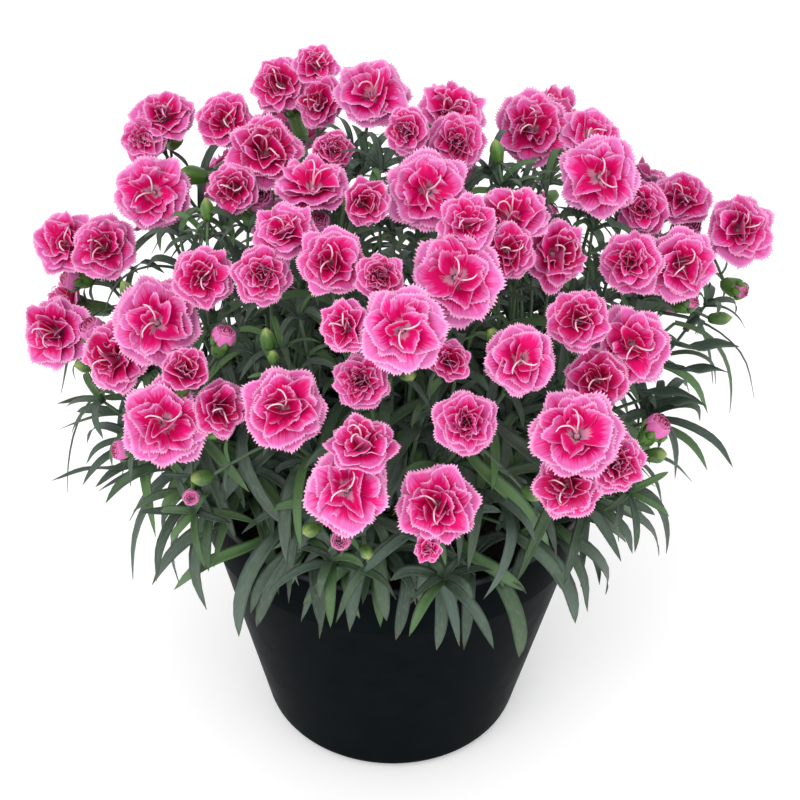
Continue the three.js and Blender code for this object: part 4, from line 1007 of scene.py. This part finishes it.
def flower(piece, head):
    """A double flower head: rings of petals from the outside in."""
    head.side = turned(first_side(head.axis, 0.95), head.axis, head.turn)
    wide = head.form == OPEN and head.pale >= WIDE_FROM
    rings = PETAL_RINGS[WIDE if wide else head.form]
    raised = any_turn()
    offset = any_turn()
    for ring, (count, shape, reach, half, throat, margin, cup, ruffle, claw) in enumerate(rings):
        inner = ring / (len(rings) - 1)
        loose = 0.06 + 0.2 * inner
        offset += FULL_TURN * (0.5 + swing(0.15)) / count
        for k in range(count):
            turn = offset + FULL_TURN * (k + swing(1) * loose) / count
            tilt = 0.07 * math.cos(turn - raised)
            stands = rng.uniform(*STANDING) if 0 < ring and rng.random() < STANDING_SHARE else 0
            petal(piece, shape, head, turn,
                  reach * rng.uniform(0.94 - 0.12 * inner, 1.06 + 0.08 * inner) * (1 - 0.1 * stands),
                  half * rng.uniform(0.84, 1.16),
                  throat + swing(0.02),
                  margin + tilt + swing(0.05) * (1 + inner) + stands,
                  cup + rng.uniform(-0.1, 0.12) * (0.3 + inner), ruffle * rng.uniform(0.7, 1.4), claw,
                  head.pale + OUTER_PALER * (0.6 - inner) + swing(0.1),
                  swing(0.22) * (0.3 + inner),
                  0.715 + 0.11 * inner - 0.06 * head.pale + swing(0.04))
    if head.form == OPEN:
        heart(piece, head)


def bud_petals(piece, bud):
    """The furled petals of an opening bud, wrapped round one another."""
    place, axis, radius = bud.place, bud.axis, bud.radius
    if bud.kind == TIGHT:
        place, radius = place + axis * (TIGHT_RAISED * radius), TIGHT_WIDTH * radius
    start = first_side(axis, 0.95)
    side = cross(axis, start)
    u = SMALL.u
    v = SMALL.v * (1 - 0.15 * np.abs(u) ** 2.4)
    for count, wide, top, pale, blotch in FURLED:
        offset = any_turn()
        for k in range(count):
            turn = offset + FULL_TURN * (k + swing(0.1)) / count
            height = -0.7 + (top * rng.uniform(0.94, 1.04) + 0.7) * v
            ripple = 0.05 * np.sin(8 * u + any_turn()) * v ** 3
            belly = np.sqrt(1 - (height / 1.3) ** 2) * (0.78 + 0.22 * smooth_step(0, 0.45, v))
            reach = (wide * belly * (1 + 0.06 * u + ripple))[:, None]
            turns = (turn + u * (0.4 + 0.55 * v))[:, None]
            out = start * np.cos(turns) + side * np.sin(turns)
            face = place + radius * (out * reach + axis * height[:, None])
            SMALL.close(piece, face, out, 1, FURLED_MARGIN, pale, blotch)


# ---------- Materials ----------
class Surface:
    """A material, with short ways to write its node graph."""

    def __init__(self, name, roughness, **sockets):
        self.material = bpy.data.materials.new(name)
        self.material.use_nodes = True
        self.shader = self.material.node_tree.nodes["Principled BSDF"]
        self.show(Roughness=roughness, **sockets)

    def show(self, **sockets):
        """Feeds the shader, and gives the finished material."""
        for name, value in sockets.items():
            self.feed(self.shader.inputs[name.replace("_", " ")], value)
        return self.material

    def feed(self, socket, value):
        if isinstance(value, bpy.types.NodeSocket):
            self.material.node_tree.links.new(value, socket)
        else:
            socket.default_value = value

    def add(self, kind, values=(), named=(), **settings):
        """A node with its settings, and values for its first inputs or for named ones."""
        node = self.material.node_tree.nodes.new(kind)
        for key, value in settings.items():
            setattr(node, key, value)
        for socket, value in zip(node.inputs, values):
            self.feed(socket, value)
        for name, value in dict(named).items():
            self.feed(node.inputs[name], value)
        return node

    def math(self, operation, a, b=0.0, c=0.0, clamp=False):
        return self.add("ShaderNodeMath", (a, b, c), operation=operation, use_clamp=clamp).outputs[0]

    def times(self, a, b):
        return self.math("MULTIPLY", a, b)

    def spread(self, value, low, high, new_low, new_high):
        return self.add("ShaderNodeMapRange", (value, low, high, new_low, new_high)).outputs[0]

    def attribute(self, name):
        node = self.add("ShaderNodeAttribute", attribute_name=name)
        return self.add("ShaderNodeSeparateXYZ", (node.outputs["Vector"],)).outputs

    def noise(self, scale, detail, roughness=0.5, vector=None):
        named = dict(Scale=scale, Detail=detail, Roughness=roughness)
        if vector:
            named["Vector"] = vector
        return self.add("ShaderNodeTexNoise", named=named).outputs["Fac"]

    def streaks(self, across, wide, along, long, detail, shift=0.0):
        """Noise of wide streaks to a unit across and long ones to a unit along."""
        ways = (self.times(across, wide), self.times(along, long), shift)
        return self.noise(1.0, detail, vector=self.add("ShaderNodeCombineXYZ", ways).outputs[0])

    def ramp(self, factor, *stops):
        node = self.add("ShaderNodeValToRGB")
        elements = node.color_ramp.elements
        for k, (position, colour) in enumerate(stops):
            element = elements[k] if k < 2 else elements.new(position)
            element.position = position
            element.color = linear(colour)
        self.feed(node.inputs[0], factor)
        return node.outputs[0]

    def mix(self, factor, a, b):
        node = self.add("ShaderNodeMix", data_type="RGBA")
        for name, value in (("Factor_Float", factor), ("A_Color", a), ("B_Color", b)):
            socket = next(s for s in node.inputs if s.identifier == name)
            self.feed(socket, linear(value) if isinstance(value, tuple) else value)
        return next(s for s in node.outputs if s.identifier == "Result_Color")

    def bump(self, height, strength, distance=0.0003):
        named = dict(Height=height, Strength=strength, Distance=distance)
        return self.add("ShaderNodeBump", named=named).outputs[0]


def linear(colour):
    """A linear colour with alpha from one of 0 to 255 in sRGB."""
    parts = [c / 255 for c in colour]
    return (*[c / 12.92 if c <= 0.04045 else ((c + 0.055) / 1.055) ** 2.4 for c in parts], 1.0)


def petal_material():
    g = Surface("dianthus petal", 0.62, Specular_IOR_Level=0.25)
    across, along, sideways = g.attribute("form")
    under, pale, blotch = g.attribute("kind")
    streak = g.streaks(across, 26.0, along, 1.6, 3.0)
    veins = g.streaks(across, 85.0, along, 2.5, 1.0)
    flank = g.times(g.math("POWER", g.math("ABSOLUTE", sideways), 12.0), 0.985)
    edge = g.math("MAXIMUM", along, g.times(flank, g.spread(along, 0.3, 0.6, 0.0, 1.0)))
    ragged = g.math("MULTIPLY_ADD", g.math("SUBTRACT", streak, 0.5), 0.5, along)
    hot = g.ramp(pale, (0.0, (178, 0, 66)), (0.35, (218, 0, 104)), (1.0, (228, 2, 124)))
    light = g.ramp(pale, (0.0, (198, 54, 132)), (0.35, (218, 92, 170)), (1.0, (225, 124, 194)))
    faded = g.math("DIVIDE", g.math("SUBTRACT", ragged, blotch), 0.17, clamp=True)
    blade = g.mix(faded, hot, light)
    blade = g.mix(g.spread(veins, 0.50, 0.72, 0.0, 0.4), blade, (206, 20, 104))
    throat_end = g.math("MULTIPLY_ADD", pale, 0.14, 0.36)
    throat = g.math("DIVIDE", g.math("SUBTRACT", throat_end, ragged), 0.12, clamp=True)
    blade = g.mix(throat, blade, (232, 176, 206))
    back = g.mix(g.times(under, 0.7), blade, (206, 104, 164))
    rim = g.spread(edge, 0.90, 0.972, 0.0, 0.84)
    return g.show(Base_Color=g.mix(rim, back, (250, 186, 224)), Normal=g.bump(veins, 0.25))


def style_material():
    g = Surface("dianthus style", 0.45)
    return g.show(Base_Color=g.ramp(g.noise(900.0, 2.0), (0.3, (228, 178, 200)), (0.7, (246, 218, 226))))


def leaf_material():
    g = Surface("dianthus leaf", 0.52, Sheen_Weight=0.05)
    across, length, tone = g.attribute("form")
    under, stem, chance = g.attribute("kind")
    body = g.ramp(tone, (0.0, (36, 53, 40)), (0.3, (51, 70, 53)), (0.5, (62, 81, 70)),
                  (0.72, (47, 74, 37)), (0.86, (62, 97, 46)), (1.0, (82, 121, 60)))
    shift = g.times(chance, 41.0)
    lines = g.streaks(across, 7.0, length, 2.0, 1.0, shift)
    wax = g.streaks(across, 3.0, length, 16.0, 4.0, shift)
    lined = g.mix(g.spread(lines, 0.45, 0.8, 0.0, 0.22), body, (86, 108, 76))
    waxed = g.mix(g.spread(wax, 0.48, 0.72, 0.0, 0.4), lined, (92, 112, 100))
    rib = g.spread(g.math("ABSOLUTE", across), 0.08, 0.0, 0.0, 0.16)
    ribbed = g.mix(rib, waxed, (98, 124, 86))
    below = g.mix(g.times(under, 0.4), ribbed, (82, 102, 84))
    dry = g.times(g.spread(length, 0.93, 1.0, 0.0, 0.7), g.spread(chance, 0.5, 0.8, 0.0, 1.0))
    tips = g.mix(dry, below, (150, 118, 84))
    return g.show(Base_Color=g.mix(stem, tips, (74, 98, 68)), Normal=g.bump(lines, 0.3),
                  Roughness=g.spread(wax, 0.2, 0.8, 0.45, 0.62))


def bud_material():
    g = Surface("dianthus calyx", 0.42)
    ribs, upward, tone = g.attribute("form")
    _, closed, _ = g.attribute("kind")
    mottle = g.noise(260.0, 3.0)
    body = g.ramp(tone, (0.0, (46, 76, 34)), (0.5, (60, 98, 38)), (1.0, (80, 124, 44)))
    mottled = g.mix(g.spread(mottle, 0.35, 0.7, 0.0, 0.35), body, (104, 136, 62))
    seams = g.times(closed, g.spread(ribs, 0.1, -0.8, 0.0, 0.5))
    seamed = g.mix(seams, mottled, (38, 60, 26))
    tips = g.times(closed, g.spread(upward, 0.72, 0.95, 0.0, 0.75))
    return g.show(Base_Color=g.mix(tips, seamed, (150, 166, 92)), Normal=g.bump(mottle, 0.2))


def soil_material():
    g = Surface("moist compost", 0.92)
    crumb = g.noise(160.0, 6.0, 0.7)
    fibre = g.noise(700.0, 3.0, 0.6)
    body = g.ramp(crumb, (0.3, (22, 15, 11)), (0.5, (44, 32, 24)), (0.72, (74, 56, 42)))
    fibrous = g.mix(g.spread(fibre, 0.62, 0.75, 0.0, 0.5), body, (104, 84, 62))
    return g.show(Base_Color=fibrous, Normal=g.bump(crumb, 0.9, 0.003))


def pot_material():
    g = Surface("black moulded plastic", 0.36)
    cloud = g.noise(14.0, 4.0, 0.6)
    grain = g.noise(1400.0, 2.0)
    place = g.add("ShaderNodeNewGeometry").outputs["Position"]
    height = g.add("ShaderNodeSeparateXYZ", (place,)).outputs["Z"]
    lip = g.spread(height, (POT.height - 4) * MM, (POT.height - 2) * MM, 0.003, 0.3)
    black = g.ramp(cloud, (0.3, (9, 13, 15)), (0.7, (14, 19, 21)))
    satin = g.spread(cloud, 0.3, 0.7, 0.32, 0.42)
    grained = g.bump(grain, 0.08, 0.0002)
    return g.show(Specular_IOR_Level=lip, Base_Color=black, Roughness=satin, Normal=grained)


# ---------- Putting the plant together ----------
def settle(obj, slot, *nodes):
    """Attaches a finished piece to the root body and hides the CAD parts that it stands in for."""
    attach(obj, "root")
    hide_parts(*nodes)


# Small pairs of leaves at more joints of a stem, shorter and narrower towards its top.
EXTRA = Record(joints=(0.16, 0.3, 0.54, 0.86), length=58, shorter=34, high=0.85, width=6.6, narrower=3.0)
JOINT = Record(swelling=0.75, share=0.012)
PAIR_TRIM = 0.22
STOCK = Record(heights=(SOIL.top - SOIL.hole_depth, SOIL.top - 4, SOIL.top + 6, 187, 197),
               radii=(2.4, 6, 5.6, 4.2, 2.5))
CUSHION = Record(leaves=44, turn=2.4, foot=178, height=34, width=(4.5, 7), length=46, shorter=14,
                 rise=0.15, steeper=1.6, droop=0.25)
INNER = Record(tufts=13, spread=0.62, reach=(18, 128), height=(212, 262), domed=34, start=192,
               leaves=6, length=(34, 56), width=(5, 7.2), rise=(0.4, 1.2), droop=(0.1, 0.45),
               radii=(1.1, 0.8))
SPARE = Record(depth=44, leaves=6, length=(20, 33), width=(3.6, 5.2), rise=(0.6, 1.4), droop=(0.0, 0.25),
               radii=(1.15, 0.85))
HANGING_SHOOT = Record(height=190, inward=14, radii=(1.2, 0.9))
# The second, smaller whorl of a shoot of the CAD source, as shares of its first one.
YOUNG = Record(leaves=4, above=4, turn=0.5, width=0.68, length=0.62, rise=1.8, droop=0.5)
LEAFY = Record(radii=(1.4, 1.0), width=0.86)


def stem_radii(t, joints):
    """A stem's radius along its length, swollen at its leaf joints."""
    radius = STEM.radius + (STEM.top_radius - STEM.radius) * t
    for joint in joints:
        radius = radius + JOINT.swelling * np.exp(-((t - joint) / JOINT.share) ** 2)
    return radius


def flowering_stem(piece, stem):
    """A stem with its leaf pairs, calyxes and side stalks."""
    joints = [at for at, *_ in stem.pairs] + [share + swing(0.03) for share in EXTRA.joints]
    swellings = [[j - JOINT.share, j, j + JOINT.share] for j in joints]
    t = np.unique(np.concatenate([np.linspace(0, 1, 20), *swellings]))
    t = t[(t >= 0) & (t <= 1)]
    first = stem.heads[0]
    line = np.vstack([stem.at(t), [first.foot * 0.5 + stem.fork * 0.5, first.foot + first.axis]])
    radii = np.concatenate([stem_radii(t, joints), [STEM.top_radius] * 2])
    tube(piece, line, radii, 8, (0, 0.5, rng.random()), (0, 0.75, rng.random()))
    for head in stem.heads:
        calyx(piece, head.foot, head.seat, head.axis, head.calyx, rng.uniform(0, 0.6))
        if head is first:
            continue
        middle = head.root * 0.5 + head.foot * 0.5 - head.axis * 3
        line = smooth_line([head.root, middle, head.foot + head.axis], 10)
        radius = STALK.radius + 0.1
        stalk(piece, line, (radius, radius), rng.random(), 0.6, rng.random())
    trim = 1 - PAIR_TRIM * max(0, -unit(at_height(stem.fork, 0))[1])
    for at, turn, width, looks in stem.pairs:
        looks = [(end, length * trim, rise, droop) for end, length, rise, droop in looks]
        pair_leaves(piece, stem.at(at), stem.way(at), turn, width * 0.9, looks)
    high = stem.fork[2] > LOW_STEMS_BELOW
    turn = stem.pairs[0][1]
    for k, at in enumerate(joints[len(stem.pairs):]):
        length = (EXTRA.length - EXTRA.shorter * at) * (EXTRA.high if high else 1.0)
        length *= trim * rng.uniform(0.8, 1.15)
        looks = [(end, length * rng.uniform(0.85, 1.1), rng.uniform(0.6, 1.1), rng.uniform(0.1, 0.4))
                 for end in (1, -1)]
        width = EXTRA.width - EXTRA.narrower * at
        pair_leaves(piece, stem.at(at), stem.way(at), turn + (k + 1) * math.pi / 2, width, looks)


def young_leaves(piece, cutting):
    """The stock of a cutting and the dense young leaves round its foot."""
    foot, outward = cutting_axis(cutting)
    line = at_height(foot, 0) + UP * np.array(STOCK.heights)[:, None]
    tube(piece, line, STOCK.radii, 10, (0, 0.5, 0.2), (0, 0.5, 0.4))
    for k in range(CUSHION.leaves):
        side = turned(outward, UP, CUSHION.turn * k + swing(0.2))
        share = k / CUSHION.leaves
        root = at_height(foot + side * 3, CUSHION.foot + CUSHION.height * share)
        length = CUSHION.length - CUSHION.shorter * share + swing(5)
        rise = CUSHION.rise + CUSHION.steeper * share + rng.uniform(-0.1, 0.2)
        points = leaf_points(root, UP, side, length, rise, CUSHION.droop * (1 - share))
        look = leaf_look()
        leaf(piece, points, UP + side * 0.2, rng.uniform(*CUSHION.width), *look)


def random_looks(source, count, share=1):
    """Length, rise and droop of count leaves of one source."""
    return [(rng.uniform(*source.length) * share, rng.uniform(*source.rise), rng.uniform(*source.droop))
            for _ in range(count)]


def inner_tufts(piece, cutting):
    """Leafy side shoots in the depth of the mound."""
    foot, outward = cutting_axis(cutting)
    for _ in range(INNER.tufts):
        side = around(math.atan2(outward[1], outward[0]) + swing(INNER.spread))
        reach = rng.uniform(*INNER.reach)
        height = rng.uniform(*INNER.height) + INNER.domed * (1 - reach / INNER.reach[1])
        end = clear_of_heads(side * reach + UP * height, 2 * LEAF_CLEARANCE)
        start = at_height(foot + side * 6, INNER.start)
        middle = start * 0.4 + end * 0.6 + UP * 6
        stalk(piece, smooth_line([start, middle, end], 9), INNER.radii, 0.4, 0.6, rng.random())
        looks = random_looks(INNER, INNER.leaves)
        tuft(piece, end, unit(UP + side * 0.4), rng.uniform(0, 3), rng.uniform(*INNER.width), looks, side)


def spare_shoot(piece, cutting, end):
    """A tall leafy shoot without a flower, with a tuft at its end and two pairs below."""
    start = fan_start(cutting, end)
    outward = unit(at_height(end, 0) + RIGHT * 0.001)
    line = smooth_line([start, start * 0.45 + end * 0.55 + outward * 10, end], 12)
    if inside_heads(line) > 1:
        return
    stalk(piece, line, SPARE.radii, 0.5, 0.7, rng.random())
    way = unit(end - line[8])
    turn, width = rng.uniform(0, 3), rng.uniform(*SPARE.width)
    tuft(piece, end, way, turn, width, random_looks(SPARE, SPARE.leaves), outward)
    turn = rng.uniform(0, 3)
    for k, at in enumerate((9, 7)):
        pair = [(side, *look) for side, look in zip((1, -1), random_looks(SPARE, 2, 1.1))]
        pair_leaves(piece, line[at], way, turn + k * math.pi / 2, SPARE.width[1], pair)


def hanging_leaf(piece, root_across, root_down, tip_across, tip_down, width, root_reach, tip_reach):
    """A leaf placed by the sight lines of its root and tip."""
    root = sight_reach(root_across, root_down, root_reach)
    tip = sight_reach(tip_across, tip_down, tip_reach)
    outward = unit(at_height(root + tip, 0))
    span = length_of(tip - root)
    drop = max(0.0, (root - tip)[2]) / span
    inner = root - outward * HANGING_SHOOT.inward + UP * 2
    first = root * 0.7 + tip * 0.3 + outward * (0.16 * span * drop) + UP * (0.1 * span)
    second = root * 0.32 + tip * 0.68 + outward * (0.14 * span * drop) + UP * (0.06 * span)
    leaf(piece, [inner, root, first, second, tip], UP * 0.5 + outward, width,
         rng.random(), swing(0.5), rng.uniform(-0.4, 0.2))
    return inner


def hanging_shoots(piece, ends, cutting):
    """The side shoots that carry hanging leaves."""
    foot, _ = cutting_axis(cutting)
    for end in ends:
        start = at_height(foot * 0.8 + end * 0.2, HANGING_SHOOT.height)
        line = smooth_line([start, start * 0.45 + end * 0.55 + UP * 8, end], 9)
        stalk(piece, line, HANGING_SHOOT.radii, 0.4, 0.6, rng.random())


def leafy_shoot(piece, shoot):
    """A shoot of the CAD source with its whorl of leaves and a second, smaller one."""
    start, end, way = shoot.start, shoot.end, shoot.way
    turn, width, outward = shoot.turn, shoot.width, shoot.outward
    line = smooth_line([start, start * 0.4 + end * 0.6 - way * 3, end + way * 1.5], 10)
    stalk(piece, line, LEAFY.radii, 0.3, 0.7, rng.random(), 8)
    tuft(piece, end, way, turn, width * LEAFY.width, shoot.looks, outward)
    young = [(length * YOUNG.length, rise * YOUNG.rise, droop * YOUNG.droop)
             for length, rise, droop in shoot.looks[:YOUNG.leaves]]
    tuft(piece, end + way * YOUNG.above, way, turn + YOUNG.turn, width * YOUNG.width, young, outward)


def build_plants(materials):
    for cutting in range(CUTTINGS.count):
        piece = Piece()
        young_leaves(piece, cutting)
        for grow, planned in ((flowering_stem, stems), (bud_green, buds), (leafy_shoot, shoots)):
            for part in planned:
                if part.cutting == cutting:
                    grow(piece, part)
        inner_tufts(piece, cutting)
        ends = [hanging_leaf(piece, *row) for row in HANGING
                if cutting_of(sight_reach(*row[:2], row[5])) == cutting]
        hanging_shoots(piece, ends, cutting)
        for spot in SPARE_SHOOTS:
            end = sight_point(*spot) + sight_line(*spot) * SPARE.depth
            end = clear_of_heads(end, 2 * LEAF_CLEARANCE)
            if cutting_of(end) == cutting:
                spare_shoot(piece, cutting, end)
        settle(piece.build(f"greenery_{cutting + 1}", materials), "foliage", f"plant_{cutting + 1}")


def build_flowers(materials):
    for cluster, own in enumerate(clusters):
        piece = Piece()
        for head in own:
            flower(piece, head)
        name = f"{cluster + 1:02d}"
        settle(piece.build(f"flower_{name}", materials), "petals", f"bloom_{name}")
    piece = Piece()
    for bud in buds:
        if bud.kind != CLOSED:
            bud_petals(piece, bud)
    tips = piece.build("opening_buds", materials)
    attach(tips, "root")


# ---------- Pot and soil ----------
POT_SIDES = 144
DRAIN_SIDES = 32
SOIL_SIDES = 90
SOIL_RINGS = 26
COLLAR_FOOT = POT.height - POT.collar_height
CRUMBS = Record(count=420, reach=105, size=(0.9, 2.6))
CRUMB_HEIGHTS = np.array((-0.9, -0.35, 0.35, 0.9))
CRUMB_RADII = np.array((0.35, 0.9, 0.85, 0.3))


def corner(before, at, after, radius, steps=4):
    """Points that round a profile's corner."""
    before, at, after = (np.array(p, float) for p in (before, at, after))
    a = at + unit(before - at) * radius
    b = at + unit(after - at) * radius
    t = np.linspace(0, 1, steps)[:, None]
    return list((1 - t) ** 2 * a + 2 * (1 - t) * t * at + t ** 2 * b)


def rounded(profile):
    """A profile of (radius, height, corner radius) as points with its corners rounded."""
    points = [np.array(profile[0][:2], float)]
    for before, at, after in zip(profile, profile[1:], profile[2:]):
        points += corner(before[:2], at[:2], after[:2], at[2])
    return points + [np.array(profile[-1][:2], float)]


def lathe(profile, sides):
    """Points and triangles of a profile turned about the vertical axis, from axis to axis."""
    inner = profile[1:-1]
    turn = np.arange(sides) * FULL_TURN / sides
    points = [(0, 0, profile[0][1]), (0, 0, profile[-1][1])]
    for r, z in inner:
        points += list(zip(r * np.cos(turn), r * np.sin(turn), np.full(sides, z)))
    faces = (np.array(grid_faces(len(inner), sides, closed=False)) + 2).tolist()
    last = 2 + (len(inner) - 1) * sides
    for i in range(sides):
        j = (i + 1) % sides
        faces += [(0, 2 + j, 2 + i), (1, last + i, last + j)]
    return np.array(points), np.array(faces)


def build_pot(material):
    height, wall, edge = POT.height, POT.wall, POT.base_edge
    base, neck, collar, rim = POT.base_radius, POT.neck_radius, POT.collar_radius, POT.rim_radius
    inner_rim = rim - POT.rim_width
    profile = [
        (0, 0, 0), (base - edge, 0, 3), (base + 0.5, edge, 3), (neck, COLLAR_FOOT, 0.4),
        (collar, COLLAR_FOOT, 0.8), (rim, height - 3, 1.5), (rim - 1, height, 1),
        (inner_rim + 1, height, 1), (inner_rim, height - 2, 1), (collar - wall, COLLAR_FOOT + wall, 1),
        (neck - wall, COLLAR_FOOT - 2, 1), (base - wall, wall, 2), (0, wall, 0),
    ]
    piece = Piece()
    piece.add(*lathe(rounded(profile), POT_SIDES))
    pot = piece.build("pot_shell", [material])
    drill = Piece()
    for k in range(POT.drain_holes):
        middle = around(FULL_TURN * k / POT.drain_holes) * POT.drain_circle
        line = middle + UP * np.array((-wall, 2 * wall))[:, None]
        tube(drill, line, [POT.drain_radius] * 2, DRAIN_SIDES)
    cutter = drill.build("drain_cutter", [material])
    cut = pot.modifiers.new("drains", "BOOLEAN")
    cut.object = cutter
    cut.solver = "EXACT"
    bpy.context.view_layer.update()
    pot.data = bpy.data.meshes.new_from_object(pot.evaluated_get(bpy.context.evaluated_depsgraph_get()))
    pot.modifiers.clear()
    bpy.data.objects.remove(cutter)
    pot.data.set_sharp_from_angle(angle=math.radians(40))
    settle(pot, "pot", "pot")


def soil_height(x, y):
    dome = SOIL.rise * (1 - (x * x + y * y) / SOIL.rise_reach ** 2)
    waves = 1.3 * np.sin(0.13 * x + 1) * np.cos(0.11 * y)
    crumbs = 0.9 * np.sin(0.61 * x + 1.3 * np.sin(0.47 * y)) * np.sin(0.53 * y + 2.1 * np.sin(0.23 * x))
    return SOIL.top + dome + waves + crumbs


def crumb(piece):
    """One crumb of compost at a random place on the soil."""
    turn, reach = any_turn(), CRUMBS.reach * math.sqrt(rng.random())
    x, y = reach * math.cos(turn), reach * math.sin(turn)
    size = rng.uniform(*CRUMBS.size)
    centre = np.array((x, y, soil_height(x, y) + 0.2 * size))
    way = unit(np.array((swing(1), swing(1), rng.uniform(0.1, 1))))
    lumps = 1 + np.array([[swing(0.25) for _ in range(6)] for _ in CRUMB_RADII])
    tube(piece, centre + np.outer(CRUMB_HEIGHTS * size, way), CRUMB_RADII * size, 6, bulge=lumps)


def build_soil(material):
    """The filled pot's compost: a plug with a crumbly top."""
    wall = [(POT.base_radius - POT.wall, POT.wall),
            (POT.neck_radius - POT.wall, COLLAR_FOOT - 2),
            (POT.collar_radius - POT.wall, COLLAR_FOOT + POT.wall)]
    profile = [(0, POT.wall + SOIL.gap)] + [(r - 2 * SOIL.gap, z + SOIL.gap) for r, z in wall]
    edge = profile[-1][0]
    profile += [(edge * (1 - k / SOIL_RINGS) + SOIL.gap, SOIL.top) for k in range(SOIL_RINGS)]
    points, faces = lathe(profile + [(0, SOIL.top)], SOIL_SIDES)
    top = points[:, 2] == SOIL.top
    points[top, 2] = soil_height(points[top, 0], points[top, 1])
    piece = Piece()
    piece.add(points, faces)
    for _ in range(CRUMBS.count):
        crumb(piece)
    settle(piece.build("compost", [material]), "soil", "soil")


# ---------- Studio ----------
LAMPS = [("key", (-0.9, -1.6, 1.9), 24), ("fill", (1.6, -1.2, 1.2), 8)]
LAMP_SIZE = 1.6
LIT_PLACE = Vector((0, 0, 0.25))
FLOOR = 6
PHOTO_SIZE = 800
FILM = 36


def build_studio():
    world = bpy.data.worlds.new("studio")
    bpy.context.scene.world = world
    world.use_nodes = True
    background = world.node_tree.nodes["Background"]
    background.inputs["Color"].default_value = (0.985, 0.99, 1.0, 1)
    background.inputs["Strength"].default_value = 1.0
    mesh = bpy.data.meshes.new("floor")
    corners = [(-FLOOR, -FLOOR, 0), (FLOOR, -FLOOR, 0), (FLOOR, FLOOR, 0), (-FLOOR, FLOOR, 0)]
    mesh.from_pydata(corners, [], [(0, 1, 2, 3)])
    floor = add_object("floor", mesh)
    g = Surface("pale floor", 0.8, Emission_Strength=0.2)
    colour = g.ramp(g.noise(3.0, 2.0), (0.3, (243, 243, 242)), (0.7, (247, 247, 246)))
    mesh.materials.append(g.show(Base_Color=colour))
    for name, place, power in LAMPS:
        light = bpy.data.lights.new(name, "AREA")
        light.size = LAMP_SIZE
        light.energy = power
        lamp = add_object(name, light)
        lamp.location = place
        lamp.rotation_euler = (LIT_PLACE - Vector(place)).to_track_quat("-Z", "Y").to_euler()


def build_camera():
    """The camera stands where the sight lines meet."""
    data = bpy.data.cameras.new("camera")
    data.sensor_width = FILM
    data.lens = SIGHT.unit / PHOTO_SIZE * FILM
    data.shift_x = (PHOTO_SIZE / 2 - SIGHT.across) / PHOTO_SIZE
    data.clip_start = 0.05
    camera = add_object("camera", data)
    roll = math.radians(SIGHT.roll)
    c, s = math.cos(roll), math.sin(roll)
    columns = [RIGHT * c - TOP * s, RIGHT * s + TOP * c, -FORWARD, EYE * MM]
    camera.matrix_world = Matrix([[*(column[i] for column in columns)] for i in range(3)] + [[0, 0, 0, 1]])
    bpy.context.scene.camera = camera
    bpy.context.scene.view_settings.view_transform = "Standard"


build_camera()
build_studio()
build_pot(pot_material())
build_soil(soil_material())
build_flowers([petal_material(), style_material()])
build_plants([leaf_material(), bud_material()])
